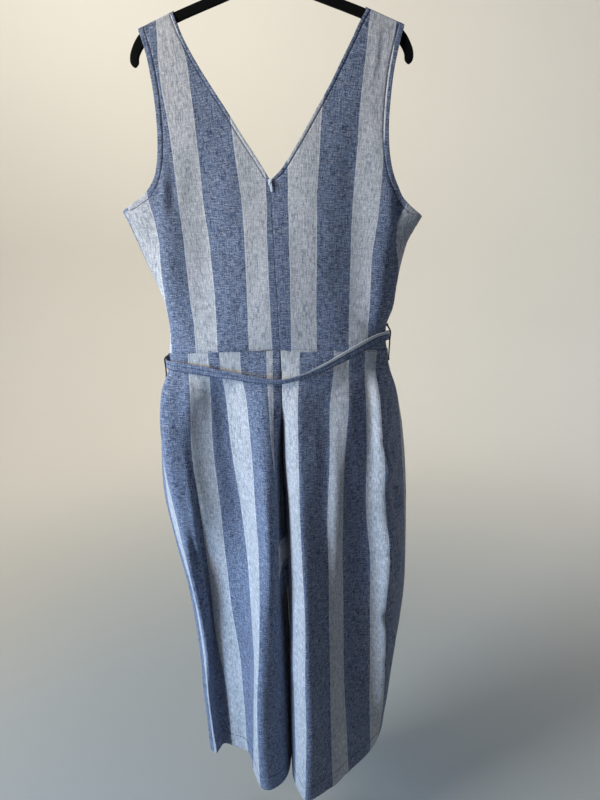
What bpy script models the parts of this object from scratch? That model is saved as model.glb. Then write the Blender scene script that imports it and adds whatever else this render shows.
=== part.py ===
"""Sleeveless V-back jumpsuit with wide cropped legs, hanging on a slim hanger.

Frame: metres, +Z up.  The origin is where a rail bears inside the hanger's hook.
-Y is the back of the garment (the zip side), +X is to the right seen from that side.
All sizes below are millimetres and are turned to metres by MM.
"""
import bpy
import bmesh
import math
from mathutils import Vector

MM = 0.001

# ---------------------------------------------------------------- cloth sizes
WALL = 1.2            # thickness of a cloth panel with its turned-in edges
SEAM = 0.15           # half the gap left between two panels at a seam
SEAM_FLAT = 1.6       # run of cloth that meets its neighbour squarely at a seam
WAIST_Z = -624.0      # waist seam at the middle
WAIST_DROP_LEFT = 14.0
WAIST_DROP_RIGHT = 4.0
V_POINT_Z = -357.0    # bottom of the V at the back
FRONT_V_DROP = 26.0   # how much lower the front V ends
CB_TOP_X = 0.5        # centre-back seam at the V point
CB_WAIST_X = 15.5     # centre-back seam at the waist

# Bodice tube: virtual half widths and depths at heights.
# z, left side x, right side x, side y, back y, front y
TUBE = (
    (-112.0, -246.0, 244.0, -1.5, -8.0, 8.0),
    (-200.0, -252.0, 248.0, -1.0, -14.0, 14.0),
    (-300.0, -256.0, 250.0, 0.0, -21.0, 20.0),
    (-404.0, -248.0, 246.0, 1.0, -28.0, 28.0),
    (-437.0, -233.0, 229.0, 2.0, -31.0, 31.0),
    (-472.0, -218.0, 215.0, 2.0, -34.0, 34.0),
    (-513.0, -202.0, 208.0, 3.0, -37.0, 38.0),
    (-545.0, -190.0, 206.0, 4.0, -39.0, 41.0),
    (-570.0, -184.0, 201.0, 4.0, -41.0, 43.0),
    (-595.0, -182.0, 194.0, 5.0, -43.0, 45.0),
    (-645.0, -186.0, 198.0, 5.0, -46.0, 48.0),
)

# Edges of the bodice from the waist up; one row per height line.
# middle z | left outer x, z | right outer x, z
LINES = (
    (-590.0, -182.0, -594.0, 192.5, -592.0),
    (-555.0, -186.0, -558.0, 203.0, -557.0),
    (-520.0, -198.0, -523.0, 207.0, -524.0),
    (-485.0, -213.0, -486.0, 212.0, -490.0),
    (-450.0, -230.0, -444.0, 221.0, -452.0),
    (-422.0, -240.0, -420.0, 232.0, -430.0),
    (-400.0, -247.5, -404.0, 243.0, -411.0),
    (-382.0, -226.0, -391.0, 223.0, -396.0),
    (-368.0, -208.0, -380.0, 209.0, -382.0),
    (-357.0, -196.0, -368.0, 201.0, -367.0),
    (-342.0, -187.5, -355.0, 194.0, -352.0),
    (-322.0, -182.0, -339.0, 188.0, -332.0),
    (-292.0, -178.0, -312.0, 184.0, -306.0),
    (-258.0, -177.0, -277.0, 182.5, -273.0),
    (-222.0, -179.0, -240.0, 184.0, -238.0),
    (-188.0, -183.0, -207.0, 187.0, -205.0),
    (-158.0, -188.0, -178.0, 192.0, -176.0),
    (-134.0, -194.5, -155.0, 197.0, -154.0),
    (-121.5, -199.0, -143.5, 200.0, -143.5),
)
# Outer face of the shoulder seam, a straight slope that rests on the hanger
SHOULDER_X = 145.0
SHOULDER_Z = -117.0
SHOULDER_SLOPE = 0.407
UNDERARM = 6          # the line that ends at the underarm
V_LINE = 9            # the line that starts at the V point

# Neck edge: z, left x, right x
NECK = (
    (-112.0, -148.0, 146.0),
    (-121.5, -144.4, 142.8),
    (-134.0, -139.0, 135.5),
    (-158.0, -128.0, 124.0),
    (-188.0, -111.0, 108.5),
    (-222.0, -89.0, 91.0),
    (-258.0, -64.5, 69.5),
    (-292.0, -42.5, 49.5),
    (-322.0, -22.0, 30.5),
    (-342.0, -9.0, 16.5),
    (-357.0, 0.35, 0.65),
)
NECK_FRONT_SPREAD = 9.0   # the front neck edge swings out by this on the way

# ------------------------------------------------------------ trouser sections
# Each row is one section of a back panel, as x, y of its named fold lines, from
# the side seam to the centre-back seam or inseam.  "waist" rows take y from TUBE.
LEFT_NAMES = ("side", "flank", "ridge", "valley", "foot", "slope", "step", "wall",
              "crest", "inner", "cleft", "seam")
LEFT_BACK = (
    (-662.0, ((-187, 8), (-181, -7), (-170, -15), (-157, -21), (-147, -24), (-108, -33),
              (-88, -37), (-51, -44), (-15, -50), (3, -50), (10, -49), (16.5, -47))),
    (-715.0, ((-208, 32), (-196, -16), (-178, -28), (-158, -33), (-144, -34), (-110, -20),
              (-85, -16), (-43, -44), (-16, -58), (4, -56), (12, -53), (17.5, -50))),
    (-815.0, ((-223, 46), (-197, -24), (-178, -32), (-158, -34), (-147, -32), (-110, -18),
              (-79, -12), (-37, -42), (-13, -62), (4, -56), (8, -40), (13.5, -12))),
    (-920.0, ((-223, 36), (-186, -24), (-163, -32), (-144, -32), (-138, -30), (-102, -18),
              (-66, -12), (-32, -46), (-8, -74), (8, -60), (10, -38), (15, 6))),
    (-1020.0, ((-196, 12), (-176, -20), (-160, -30), (-142, -14), (-135, -12), (-96, -14),
              (-54, -26), (-26, -62), (-5, -82), (10, -62), (11, -42), (17, 10))),
    (-1130.0, ((-170, 2), (-160, -12), (-149, -22), (-139, 10), (-128, 8), (-86, -10),
              (-47, -42), (-25, -82), (-7, -84), (11, -62), (13, -44), (19, 10))),
    (-1250.0, ((-157, 1), (-150, -9), (-141, -12), (-137, 22), (-124, 17), (-77, -6),
              (-45, -46), (-28, -86), (-8, -85), (13, -62), (18, -44), (23, 10))),
    (-1380.0, ((-151, -1), (-146, -8), (-141, -5), (-135, 26), (-112, 21), (-73, -2),
              (-49, -46), (-30, -86), (-10, -85), (14, -62), (22, -44), (25, 10))),
    (-1531.0, ((-142, -2), (-135, -5), (-131, 2), (-125, 21), (-105, 19), (-68, 3),
              (-51, -42), (-29, -79), (-12, -86), (13, -68), (24, -44), (26, 10))),
)
LEFT_WAIST_X = (-186, -178, -168, -156, -145, -108, -89, -52, -15, 3, 9.5, 15.3)
LEFT_SPLIT = (2, 2, 2, 1, 3, 3, 3, 2, 2, 2, 3)

RIGHT_NAMES = ("side", "flank", "quarter", "third", "half", "shoulder", "crest",
               "rise", "cleft", "seam")
RIGHT_BACK = (
    (-662.0, ((201, 10), (176, -18), (157, -27), (130, -37), (104, -45),
              (75, -51), (48, -54), (35, -52), (24, -49), (17.5, -47))),
    (-715.0, ((219, 36), (183, -36), (161, -32), (131, -48), (99, -50),
              (72, -58), (46, -66), (34, -60), (25, -54), (18, -50))),
    (-815.0, ((238, 50), (193, -42), (165, -36), (127, -58), (100, -60),
              (74, -68), (48, -76), (33, -60), (20, -40), (15, -12))),
    (-920.0, ((247, 46), (203, -42), (167, -34), (127, -60), (98, -64),
              (74, -74), (51, -82), (38, -66), (28, -46), (18, 6))),
    (-1020.0, ((250, 38), (214, -42), (178, -28), (128, -52), (102, -64),
              (79, -78), (56, -88), (42, -70), (30, -50), (20, 10))),
    (-1130.0, ((253, 44), (212, -34), (182, -22), (131, -40), (105, -62),
              (83, -80), (61, -93), (45, -74), (31, -52), (23, 10))),
    (-1250.0, ((246, 48), (216, -30), (186, -22), (134, -42), (108, -66),
              (85, -84), (62, -96), (46, -78), (31, -56), (27, 10))),
    (-1380.0, ((234, 45), (217, -20), (189, -22), (141, -46), (112, -72),
              (89, -90), (65, -101), (47, -80), (32, -56), (29, 10))),
    (-1531.0, ((224, 48), (214, 20), (196, -8), (150, -42), (117, -74),
              (90, -92), (63, -104), (44, -78), (33, -48), (30, 10))),
)
RIGHT_WAIST_X = (197, 178, 157, 130, 104, 75, 48, 35, 24, 15.7)
RIGHT_SPLIT = (3, 3, 3, 3, 2, 2, 2, 2, 4)
# How far each column of the right back hem lies above the lowest point
RIGHT_HEM_RISE = (44, 38, 31, 8, 3, 0, 0, 0, 0, 0)

# Front panels, hidden side: z | outermost x, y | depths of bulge, dip, middle,
# dip, bulge | inner round x, y
FRONT_NAMES = ("side", "edge", "bulge", "dip", "middle", "hollow", "round", "wall", "seam")
LEFT_FRONT = (
    (-662.0, (-186, 19), (28, 40, 47, 50, 51), (8, 51)),
    (-715.0, (-207, 46), (56, 62, 64, 60, 63), (8, 62)),
    (-815.0, (-222, 60), (76, 76, 84, 78, 82), (9, 78)),
    (-920.0, (-226, 48), (72, 70, 86, 74, 84), (9, 74)),
    (-1020.0, (-204, 24), (56, 58, 82, 68, 80), (9, 66)),
    (-1130.0, (-179, 13), (46, 56, 80, 64, 78), (11, 60)),
    (-1250.0, (-166, 11), (44, 56, 80, 62, 76), (14, 58)),
    (-1380.0, (-160, 8), (42, 56, 82, 62, 77), (16, 58)),
    (-1531.0, (-151, 6), (40, 56, 84, 64, 78), (18, 58)),
)
RIGHT_FRONT = (
    (-662.0, (200, 22), (31, 42, 49, 51, 51), (27, 51)),
    (-715.0, (218, 52), (66, 66, 70, 62, 64), (27, 62)),
    (-815.0, (238, 68), (88, 82, 92, 80, 84), (27, 78)),
    (-920.0, (248, 64), (90, 80, 96, 80, 86), (29, 74)),
    (-1020.0, (252, 56), (86, 78, 96, 78, 86), (31, 68)),
    (-1130.0, (255, 62), (90, 80, 98, 76, 84), (34, 62)),
    (-1250.0, (248, 66), (92, 82, 98, 74, 82), (36, 60)),
    (-1380.0, (236, 62), (90, 82, 98, 74, 82), (38, 60)),
    (-1531.0, (226, 64), (88, 82, 98, 76, 84), (40, 60)),
)
FRONT_FRACTIONS = (0.06, 0.24, 0.48, 0.72, 0.90)
FRONT_SPLIT = (1, 2, 3, 3, 3, 3, 2, 3)
FRONT_HEM_RISE_RIGHT = (43, 40, 34, 24, 12, 5, 0, 0, 0)
CROTCH_Z = -985.0
# Depth of the centre-front seam and inseam under it: z, y
FRONT_SEAM = (
    (-624.0, 47.5), (-662.0, 51.0), (-715.0, 61.0), (-815.0, 76.0), (-870.0, 74.0),
    (-920.0, 62.0), (-955.0, 40.0), (-985.0, 10.6), (-1020.0, 10.4), (-1531.0, 10.4),
)
LEG_ROWS = (-662.0, -687.0, -715.0, -765.0, -815.0, -868.0, -920.0, -955.0, -985.0,
            -1020.0, -1075.0, -1130.0, -1190.0, -1250.0, -1315.0, -1380.0, -1455.0, -1531.0)

# ----------------------------------------------------------------- hard pieces
HANGER_THICK = 6.0
HANGER_ROUND = 1.6
# Left half outline of the hanger: x, z
HANGER_OUTLINE = (
    (0.0, -63.0), (-12.0, -64.5), (-25.0, -73.0), (-45.0, -83.0), (-101.0, -103.0),
    (-145.0, -118.8), (-172.0, -130.0), (-188.0, -138.0), (-201.0, -148.8),
    (-210.0, -162.0), (-215.5, -176.0), (-215.0, -187.0), (-209.5, -192.0),
    (-203.5, -187.0), (-202.0, -178.0), (-196.0, -167.0), (-187.0, -158.0),
    (-172.0, -146.5), (-140.0, -132.0), (-59.0, -103.0), (-35.0, -93.5), (0.0, -86.0),
)
HOOK_WIRE = 1.9
HOOK_INNER = 20.0
HOOK_STEM_TOP = -62.6

PIVOT_Z = -360.0      # height of the pull tab's hinge line
PIVOT_OFF = 0.95      # hinge line to the slider's outer face
SLIDER_WIDE = 5.2
SLIDER_THICK = 2.2
SLIDER_LONG = 8.6
BAIL_WIDE = 1.2
PULL_LONG = 15.0
PULL_WIDE = 4.2
PULL_THICK = 0.9
PULL_LEAN = 8.0       # degrees the tab leans in its own plane
TAPE_END_Z = -770.0
TAPE_WIDE = 20.0
TAPE_THICK = 1.0
# How far inside the seam line the middle of the zip tape lies: z, depth
TAPE_INSIDE = ((-357.0, 2.0), (-590.0, 2.0), (-624.0, 3.3), (-662.0, 5.0), (-770.0, 6.5))
SEAT = 0.3            # clearance between a piece and what carries it

BELT_WIDE = 14.5
BELT_THICK = 1.6
# Belt round the waist: x, y, z, lean of the strip in degrees
BELT = (
    (1.4, 56.5, -650.0, 0.0), (-45.0, 53.5, -651.0, 0.0), (-95.0, 50.5, -653.0, 0.0),
    (-140.0, 45.0, -653.0, 0.0), (-174.0, 34.5, -655.0, 0.0), (-190.5, 21.0, -657.5, 0.0),
    (-193.0, 7.0, -659.5, 0.0), (-186.0, -9.5, -660.5, 2.0), (-165.0, -24.0, -660.0, 4.0),
    (-126.0, -36.0, -662.5, 8.0), (-89.0, -45.0, -666.0, 12.0), (-53.0, -53.0, -669.5, 16.0),
    (-18.0, -61.0, -672.5, 20.0), (17.0, -64.0, -673.5, 22.0), (49.0, -63.0, -665.5, 20.0),
    (82.0, -57.0, -653.0, 15.0), (115.0, -48.5, -637.0, 10.0), (148.0, -38.0, -620.5, 7.0),
    (175.0, -24.0, -608.0, 4.0), (193.0, -10.0, -604.5, 2.0), (198.0, 5.0, -606.0, 0.0),
    (193.0, 17.5, -609.0, 0.0), (175.0, 29.5, -616.0, 0.0), (138.0, 43.5, -626.0, 0.0),
    (95.0, 51.0, -636.0, 0.0), (52.0, 54.0, -645.0, 0.0), (24.6, 56.5, -649.5, 0.0),
)
KNOT_X, KNOT_Y, KNOT_Z = 13.0, 57.6, -650.0
TAIL_LONG = 240.0

LOOP_THREAD = 0.7
# Thread loops: top z, bottom z, belt point that they hold, side of the garment
LOOPS = (
    ("loop_left", -645.0, -689.0, 6, -1.0),
    ("loop_right", -588.0, -648.0, 20, 1.0),
)


# -------------------------------------------------------------------- helpers
def lookup(table, z, column):
    """Value of one column of a table at a height, along a smooth curve."""
    rows = sorted(table, key=lambda row: row[0])
    if z <= rows[0][0]:
        return rows[0][column]
    if z >= rows[-1][0]:
        return rows[-1][column]
    k = 0
    while rows[k + 1][0] < z:
        k += 1
    z0, z1 = rows[k][0], rows[k + 1][0]
    a, b = rows[k][column], rows[k + 1][column]
    before = rows[max(k - 1, 0)]
    after = rows[min(k + 2, len(rows) - 1)]
    m0 = (b - before[column]) / (z1 - before[0])
    m1 = (after[column] - a) / (after[0] - z0)
    t = (z - z0) / (z1 - z0)
    h = z1 - z0
    return ((2 * t ** 3 - 3 * t ** 2 + 1) * a + (t ** 3 - 2 * t ** 2 + t) * h * m0
            + (3 * t ** 2 - 2 * t ** 3) * b + (t ** 3 - t ** 2) * h * m1)


def bend(p0, p1, p2, p3, count):
    """Points from p1 up to, not including, p2 on a centripetal curve."""
    knots = [0.0]
    for a, b in ((p0, p1), (p1, p2), (p2, p3)):
        knots.append(knots[-1] + max((b - a).length, 1e-6) ** 0.5)
    t0, t1, t2, t3 = knots
    out = []
    for i in range(count):
        t = t1 + (t2 - t1) * i / count
        a1 = p0 * ((t1 - t) / (t1 - t0)) + p1 * ((t - t0) / (t1 - t0))
        a2 = p1 * ((t2 - t) / (t2 - t1)) + p2 * ((t - t1) / (t2 - t1))
        a3 = p2 * ((t3 - t) / (t3 - t2)) + p3 * ((t - t2) / (t3 - t2))
        b1 = a1 * ((t2 - t) / (t2 - t0)) + a2 * ((t - t0) / (t2 - t0))
        b2 = a2 * ((t3 - t) / (t3 - t1)) + a3 * ((t - t1) / (t3 - t1))
        out.append(b1 * ((t2 - t) / (t2 - t1)) + b2 * ((t - t1) / (t2 - t1)))
    return out


def curve_through(points, counts, before=None, after=None):
    """Smooth run through the points; before and after steer the two ends."""
    first = before or points[0] * 2 - points[1]
    last = after or points[-1] * 2 - points[-2]
    padded = [first] + list(points) + [last]
    run = []
    for i, count in enumerate(counts):
        run += bend(padded[i], padded[i + 1], padded[i + 2], padded[i + 3], count)
    run.append(points[-1])
    return run


def waist_z(x):
    side = LEFT_WAIST_X[0] if x < CB_WAIST_X else RIGHT_WAIST_X[0]
    drop = WAIST_DROP_LEFT if x < CB_WAIST_X else WAIST_DROP_RIGHT
    share = min(1.0, abs(x - CB_WAIST_X) / abs(side - CB_WAIST_X))
    return WAIST_Z - drop * share ** 2


def tube_depth(x, z, back):
    """Depth y of the bodice wall at x and height z."""
    side_x = lookup(TUBE, z, 1 if x < 0 else 2)
    side_y = lookup(TUBE, z, 3)
    full = lookup(TUBE, z, 4 if back else 5)
    share = min(1.0, abs(x) / abs(side_x))
    return side_y + (full - side_y) * math.sqrt(max(0.0, 1.0 - share ** 2.6))


def shoulder_z(x):
    return SHOULDER_Z - SHOULDER_SLOPE * (abs(x) - SHOULDER_X)


def middle_x(z):
    share = (V_POINT_Z - z) / (V_POINT_Z - WAIST_Z)
    return CB_TOP_X + (CB_WAIST_X - CB_TOP_X) * max(0.0, share)


def material(name, colour, rough, metal=0.0):
    made = bpy.data.materials.new(name)
    made.use_nodes = True
    shader = made.node_tree.nodes["Principled BSDF"]
    shader.inputs["Base Color"].default_value = (*colour, 1.0)
    shader.inputs["Roughness"].default_value = rough
    shader.inputs["Metallic"].default_value = metal
    return made


def place(name, mesh, mat):
    made = bpy.data.objects.new(name, mesh)
    parts.objects.link(made)
    mesh.materials.append(mat)
    return made


def sheet_mesh(name, grids):
    """One sheet from grids of points in millimetres; equal points are joined."""
    work = bmesh.new()
    for grid in grids:
        made = [[work.verts.new(p * MM) for p in line] for line in grid]
        for low, high in zip(made, made[1:]):
            for i in range(len(low) - 1):
                corners = [low[i], low[i + 1], high[i + 1], high[i]]
                if len(set(corners)) == 4:
                    work.faces.new(corners)
    bmesh.ops.remove_doubles(work, verts=work.verts, dist=0.00002)
    mesh = bpy.data.meshes.new(name)
    work.to_mesh(mesh)
    work.free()
    return mesh


def cloth(name, grids, mat, outward):
    """Cloth panel: a sheet given its wall thickness towards the inside."""
    mesh = sheet_mesh(name, grids)
    ready = bmesh.new()
    ready.from_mesh(mesh)
    bmesh.ops.recalc_face_normals(ready, faces=ready.faces)
    total = sum((face.normal.y * face.calc_area() for face in ready.faces), 0.0)
    if total * outward < 0:
        bmesh.ops.reverse_faces(ready, faces=ready.faces)
    ready.to_mesh(mesh)
    ready.free()
    panel = place(name, mesh, mat)
    wall = panel.modifiers.new("wall", "SOLIDIFY")
    wall.thickness = WALL * MM
    wall.offset = -1.0
    wall.use_even_offset = False
    wall.use_quality_normals = True
    return panel


# ------------------------------------------------------------------- the panels
def bodice_half(sign, back):
    """Rows of points of half the bodice, from the middle to the side."""
    rows = []
    waist = LEFT_WAIST_X[0] if sign < 0 else RIGHT_WAIST_X[0]
    lines = [(WAIST_Z, waist, waist_z(waist))]
    lines += [(r[0], r[1], r[2]) if sign < 0 else (r[0], r[3], r[4]) for r in LINES]
    columns = 12
    for k, (z_in, x_out, z_out) in enumerate(lines):
        line = k - 1
        if line < V_LINE:
            x_in = middle_x(z_in)
        else:
            x_in = lookup(NECK, z_in, 1 if sign < 0 else 2)
        if not back:
            rise = max(0.0, (z_in - WAIST_Z) / (V_POINT_Z - WAIST_Z))
            if line <= V_LINE:
                z_in = z_in - FRONT_V_DROP * rise ** 2
                x_in = middle_x(z_in)
            else:
                share = (z_in - V_POINT_Z) / (LINES[-1][0] - V_POINT_Z)
                x_in += sign * NECK_FRONT_SPREAD * math.sin(math.pi * share ** 0.8)
                z_in = z_in - FRONT_V_DROP * (1.0 - share) ** 1.5
        if back and line <= V_LINE:
            x_in += sign * SEAM
        row = []
        for i in range(columns + 1):
            u = 1.0 - (1.0 - i / columns) ** 1.5
            x = x_in + (x_out - x_in) * u
            z = z_in + (z_out - z_in) * u
            if line == -1:
                z = waist_z(x) + SEAM
            y = tube_depth(x, z, back)
            if line <= UNDERARM and i == columns:
                y = lookup(TUBE, z, 3) + (-SEAM if back else SEAM)
                if line == UNDERARM:
                    y += -0.7 if back else 0.7
            row.append(Vector((x, y, z)))
        near = row[-2].lerp(row[-1], 0.8)
        if line <= UNDERARM:
            near = row[-1] + Vector((0.0, -SEAM_FLAT if back else SEAM_FLAT, 0.0))
        row.insert(columns, near)
        rows.append(row)
    # the strap rolls over the hanger's rounded top up to the shoulder seam
    face = -1.0 if back else 1.0
    stand = WALL + SEAT
    corner = HANGER_ROUND + stand
    flat = HANGER_THICK / 2 - HANGER_ROUND
    roll = ((flat + corner, -corner), (flat + corner * 0.707, -corner * 0.293),
            (flat, 0.0), (SEAM, 0.0))
    strap = rows[-1]
    for p in strap:
        p.y = face * roll[0][0]
    for deep, drop in roll:
        rows.append([Vector((p.x, face * deep, shoulder_z(p.x) + drop)) for p in strap])
    return rows


def level(table, z, build):
    """Named points at any height, each following a smooth line down the panel."""
    flat = []
    for entry in table:
        points = build(entry)
        flat.append((entry[0],) + tuple(v for p in points for v in p))
    count = (len(flat[0]) - 1) // 2
    return [Vector((lookup(flat, z, 1 + 2 * i), lookup(flat, z, 2 + 2 * i), 0.0))
            for i in range(count)]


def front_points(entry):
    z, edge, depths, inner = entry
    seam_x = lookup(LEFT_SEAM if edge[0] < 0 else RIGHT_SEAM, z, 1)
    seam_y = lookup(FRONT_SEAM, z, 1)
    side = lookup(LEFT_SIDE if edge[0] < 0 else RIGHT_SIDE, z, 1)
    side_y = lookup(LEFT_SIDE if edge[0] < 0 else RIGHT_SIDE, z, 2)
    points = [(side, side_y + 2 * SEAM), edge]
    for share, depth in zip(FRONT_FRACTIONS, depths):
        points.append((edge[0] + (inner[0] - edge[0]) * share, depth))
    points += [inner, (seam_x, seam_y)]
    return points


LEFT_SIDE = [(z, p[0][0], p[0][1]) for z, p in LEFT_BACK]
RIGHT_SIDE = [(z, p[0][0], p[0][1]) for z, p in RIGHT_BACK]
LEFT_SEAM = [(z, p[-1][0], p[-1][1]) for z, p in LEFT_BACK]
RIGHT_SEAM = [(z, p[-1][0], p[-1][1]) for z, p in RIGHT_BACK]


def leg_panel(side, back):
    """Rows of points of one leg panel, from the waist down to the hem."""
    left = side == "left"
    backs = LEFT_BACK if left else RIGHT_BACK
    fronts = LEFT_FRONT if left else RIGHT_FRONT
    waist = LEFT_WAIST_X if left else RIGHT_WAIST_X
    split = (LEFT_SPLIT if left else RIGHT_SPLIT) if back else FRONT_SPLIT
    rises = (0,) * 12
    if not left:
        rises = RIGHT_HEM_RISE if back else FRONT_HEM_RISE_RIGHT
    rows = []
    for z in (WAIST_Z,) + LEG_ROWS:
        top = z == WAIST_Z
        if top:
            inner = waist[-1]
            edge = waist[0]
            names = list(waist)
            if not back:
                names = [edge, edge + (4 if left else -4)]
                names += [edge + (inner - edge) * s for s in FRONT_FRACTIONS]
                names += [inner + (-8 if left else 8), inner]
            points = [Vector((x, tube_depth(x, WAIST_Z - 6.0, back), 0.0)) for x in names]
            points[0].y = lookup(TUBE, WAIST_Z - 10.0, 3) + (-SEAM if back else SEAM)
            mate = Vector((points[0].x, points[0].y + (14.0 if back else -14.0), 0.0))
        else:
            here = level(backs, z, lambda entry: entry[1])
            there = level(fronts, z, front_points)
            if z > CROTCH_Z:
                there[-1].y = lookup(FRONT_SEAM, z, 1)
            else:
                there[-1] = here[-1] + Vector((0.0, 2 * SEAM, 0.0))
            points = here if back else there
            mate = (there if back else here)[1]
        run = curve_through(points, split, before=mate)
        square = Vector((0.0, -SEAM_FLAT if back else SEAM_FLAT, 0.0))
        run.insert(1, run[0] + square)
        inner_near = run[-2].lerp(run[-1], 0.8)
        if not top and z <= CROTCH_Z:
            inner_near = run[-1] + square
        run.insert(len(run) - 1, inner_near)
        marks = [0, 1 + split[0]]
        for count in split[1:]:
            marks.append(marks[-1] + count)
        marks[-1] += 1
        row = []
        for i, p in enumerate(run):
            if top:
                height = waist_z(p.x) - SEAM
            else:
                height = z
                fall = max(0.0, min(1.0, (-1130.0 - z) / 401.0)) ** 1.3
                k = max(j for j, mark in enumerate(marks) if mark <= i)
                k2 = min(k + 1, len(marks) - 1)
                part = 0.0 if k2 == k else (i - marks[k]) / (marks[k2] - marks[k])
                height += fall * (rises[k] + (rises[k2] - rises[k]) * part)
            row.append(Vector((p.x, p.y, height)))
        rows.append(row)
    return rows


def strip(name, stations, wide, thick, mat):
    """Flat strip along stations of point, across vector and thickness vector."""
    work = bmesh.new()
    rings = []
    for point, across, out in stations:
        ring = []
        for a, b in ((-1, -0.5), (-0.86, -1), (0.86, -1), (1, -0.5),
                     (1, 0.5), (0.86, 1), (-0.86, 1), (-1, 0.5)):
            corner = point + across * (a * wide / 2) + out * (b * thick / 2)
            ring.append(work.verts.new(corner * MM))
        rings.append(ring)
    for one, two in zip(rings, rings[1:]):
        for i in range(8):
            j = (i + 1) % 8
            work.faces.new((one[i], one[j], two[j], two[i]))
    work.faces.new(rings[0])
    work.faces.new(rings[-1])
    bmesh.ops.recalc_face_normals(work, faces=work.faces)
    mesh = bpy.data.meshes.new(name)
    work.to_mesh(mesh)
    work.free()
    return place(name, mesh, mat)


def wire(name, points, radius, mat, detail=2):
    """Round wire through points given in millimetres, closed at both ends."""
    line = bpy.data.curves.new(name, "CURVE")
    line.dimensions = "3D"
    line.bevel_depth = radius * MM
    line.bevel_resolution = detail
    line.use_fill_caps = True
    run = line.splines.new("POLY")
    run.points.add(len(points) - 1)
    for slot, p in zip(run.points, points):
        slot.co = (p[0] * MM, p[1] * MM, p[2] * MM, 1.0)
    made = bpy.data.objects.new(name, line)
    parts.objects.link(made)
    line.materials.append(mat)
    return made


# ----------------------------------------------------------------------- build
for old in list(bpy.data.objects):
    bpy.data.objects.remove(old, do_unlink=True)
scene = bpy.context.scene
parts = bpy.data.collections.new("jumpsuit_on_hanger")
scene.collection.children.link(parts)

blue = material("chambray_blue_stripe", (0.115, 0.165, 0.30), 0.9)
leg_blue = material("chambray_leg", (0.13, 0.18, 0.31), 0.9)
belt_blue = material("chambray_belt", (0.14, 0.19, 0.33), 0.9)
navy = material("navy_thread", (0.01, 0.012, 0.03), 0.8)
tape_blue = material("zip_tape_navy", (0.05, 0.07, 0.14), 0.8)
silver = material("zip_silver", (0.75, 0.76, 0.78), 0.35, 0.9)
black = material("hanger_black", (0.012, 0.012, 0.014), 0.75)
chrome = material("hook_steel", (0.6, 0.6, 0.62), 0.25, 1.0)

left_back = bodice_half(-1, True)
right_back = bodice_half(1, True)
cloth("bodice_back_left", [left_back], blue, -1)
cloth("bodice_back_right", [right_back], blue, -1)
cloth("bodice_front", [bodice_half(-1, False), bodice_half(1, False)], blue, 1)
left_leg = leg_panel("left", True)
right_leg = leg_panel("right", True)
cloth("leg_back_left", [left_leg], leg_blue, -1)
cloth("leg_back_right", [right_leg], leg_blue, -1)
cloth("leg_front_left", [leg_panel("left", False)], leg_blue, 1)
cloth("leg_front_right", [leg_panel("right", False)], leg_blue, 1)

# Zip tape inside the centre-back seam
tape = []
for k in range(22):
    z = V_POINT_Z - 9.0 + (TAPE_END_Z - V_POINT_Z + 9.0) * k / 21
    if z > WAIST_Z:
        y = tube_depth(middle_x(z), z, True)
    else:
        y = lookup(LEFT_SEAM + [(WAIST_Z, 15.3, -46.0)], z, 2)
    x = middle_x(z) if z > WAIST_Z else lookup(LEFT_SEAM + [(WAIST_Z, 15.3, -46.0)], z, 1)
    y += lookup(TAPE_INSIDE, z, 1)
    tape.append((Vector((x, y, z)), Vector((1, 0, 0)), Vector((0, 1, 0))))
strip("zip_tape", tape, TAPE_WIDE, TAPE_THICK, tape_blue)

# Hanger arms: flat outline, thickened and rounded
outline = bpy.data.curves.new("hanger_arms", "CURVE")
outline.dimensions = "2D"
outline.fill_mode = "BOTH"
outline.extrude = (HANGER_THICK / 2 - HANGER_ROUND) * MM
outline.bevel_depth = HANGER_ROUND * MM
outline.bevel_resolution = 1
half = [Vector((x, z, 0.0)) for x, z in HANGER_OUTLINE]
full = half + [Vector((-p.x, p.y, 0.0)) for p in reversed(half[1:-1])]
smooth = []
for i in range(len(full)):
    q = [full[(i + k - 1) % len(full)] for k in range(4)]
    smooth += bend(q[0], q[1], q[2], q[3], 2)
centre = sum(smooth, Vector()) / len(smooth)
ring = outline.splines.new("POLY")
ring.points.add(len(smooth) - 1)
for i, slot in enumerate(ring.points):
    a, b = smooth[i - 1], smooth[(i + 1) % len(smooth)]
    along = (b - a).normalized()
    inward = Vector((-along.y, along.x, 0.0)) * HANGER_ROUND
    p = smooth[i] + inward
    slot.co = (p.x * MM, p.y * MM, 0.0, 1.0)
ring.use_cyclic_u = True
arms = bpy.data.objects.new("hanger_arms", outline)
parts.objects.link(arms)
outline.materials.append(black)
arms.rotation_euler = (math.radians(90), 0.0, 0.0)

# Hanger hook: stem, then round over the rail and down to its open tip
hook_r = HOOK_INNER + HOOK_WIRE
hook_z = HOOK_WIRE - hook_r
hook = [(0.0, 0.0, HOOK_STEM_TOP), (0.0, 0.0, HOOK_STEM_TOP + 6.0), (0.3, 0.0, -49.0)]
for k in range(25):
    angle = math.radians(-78 + 278 * k / 24)
    hook.append((hook_r * math.cos(angle), 0.0, hook_z + hook_r * math.sin(angle)))
wire("hanger_hook", hook, HOOK_WIRE, chrome, 2)

# Zip slider with its bail
slider_y = tube_depth(CB_TOP_X, PIVOT_Z, True) - 0.6 - SLIDER_THICK / 2
face_y = slider_y - SLIDER_THICK / 2
pivot = Vector((CB_TOP_X, face_y - PIVOT_OFF, PIVOT_Z))


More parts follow.
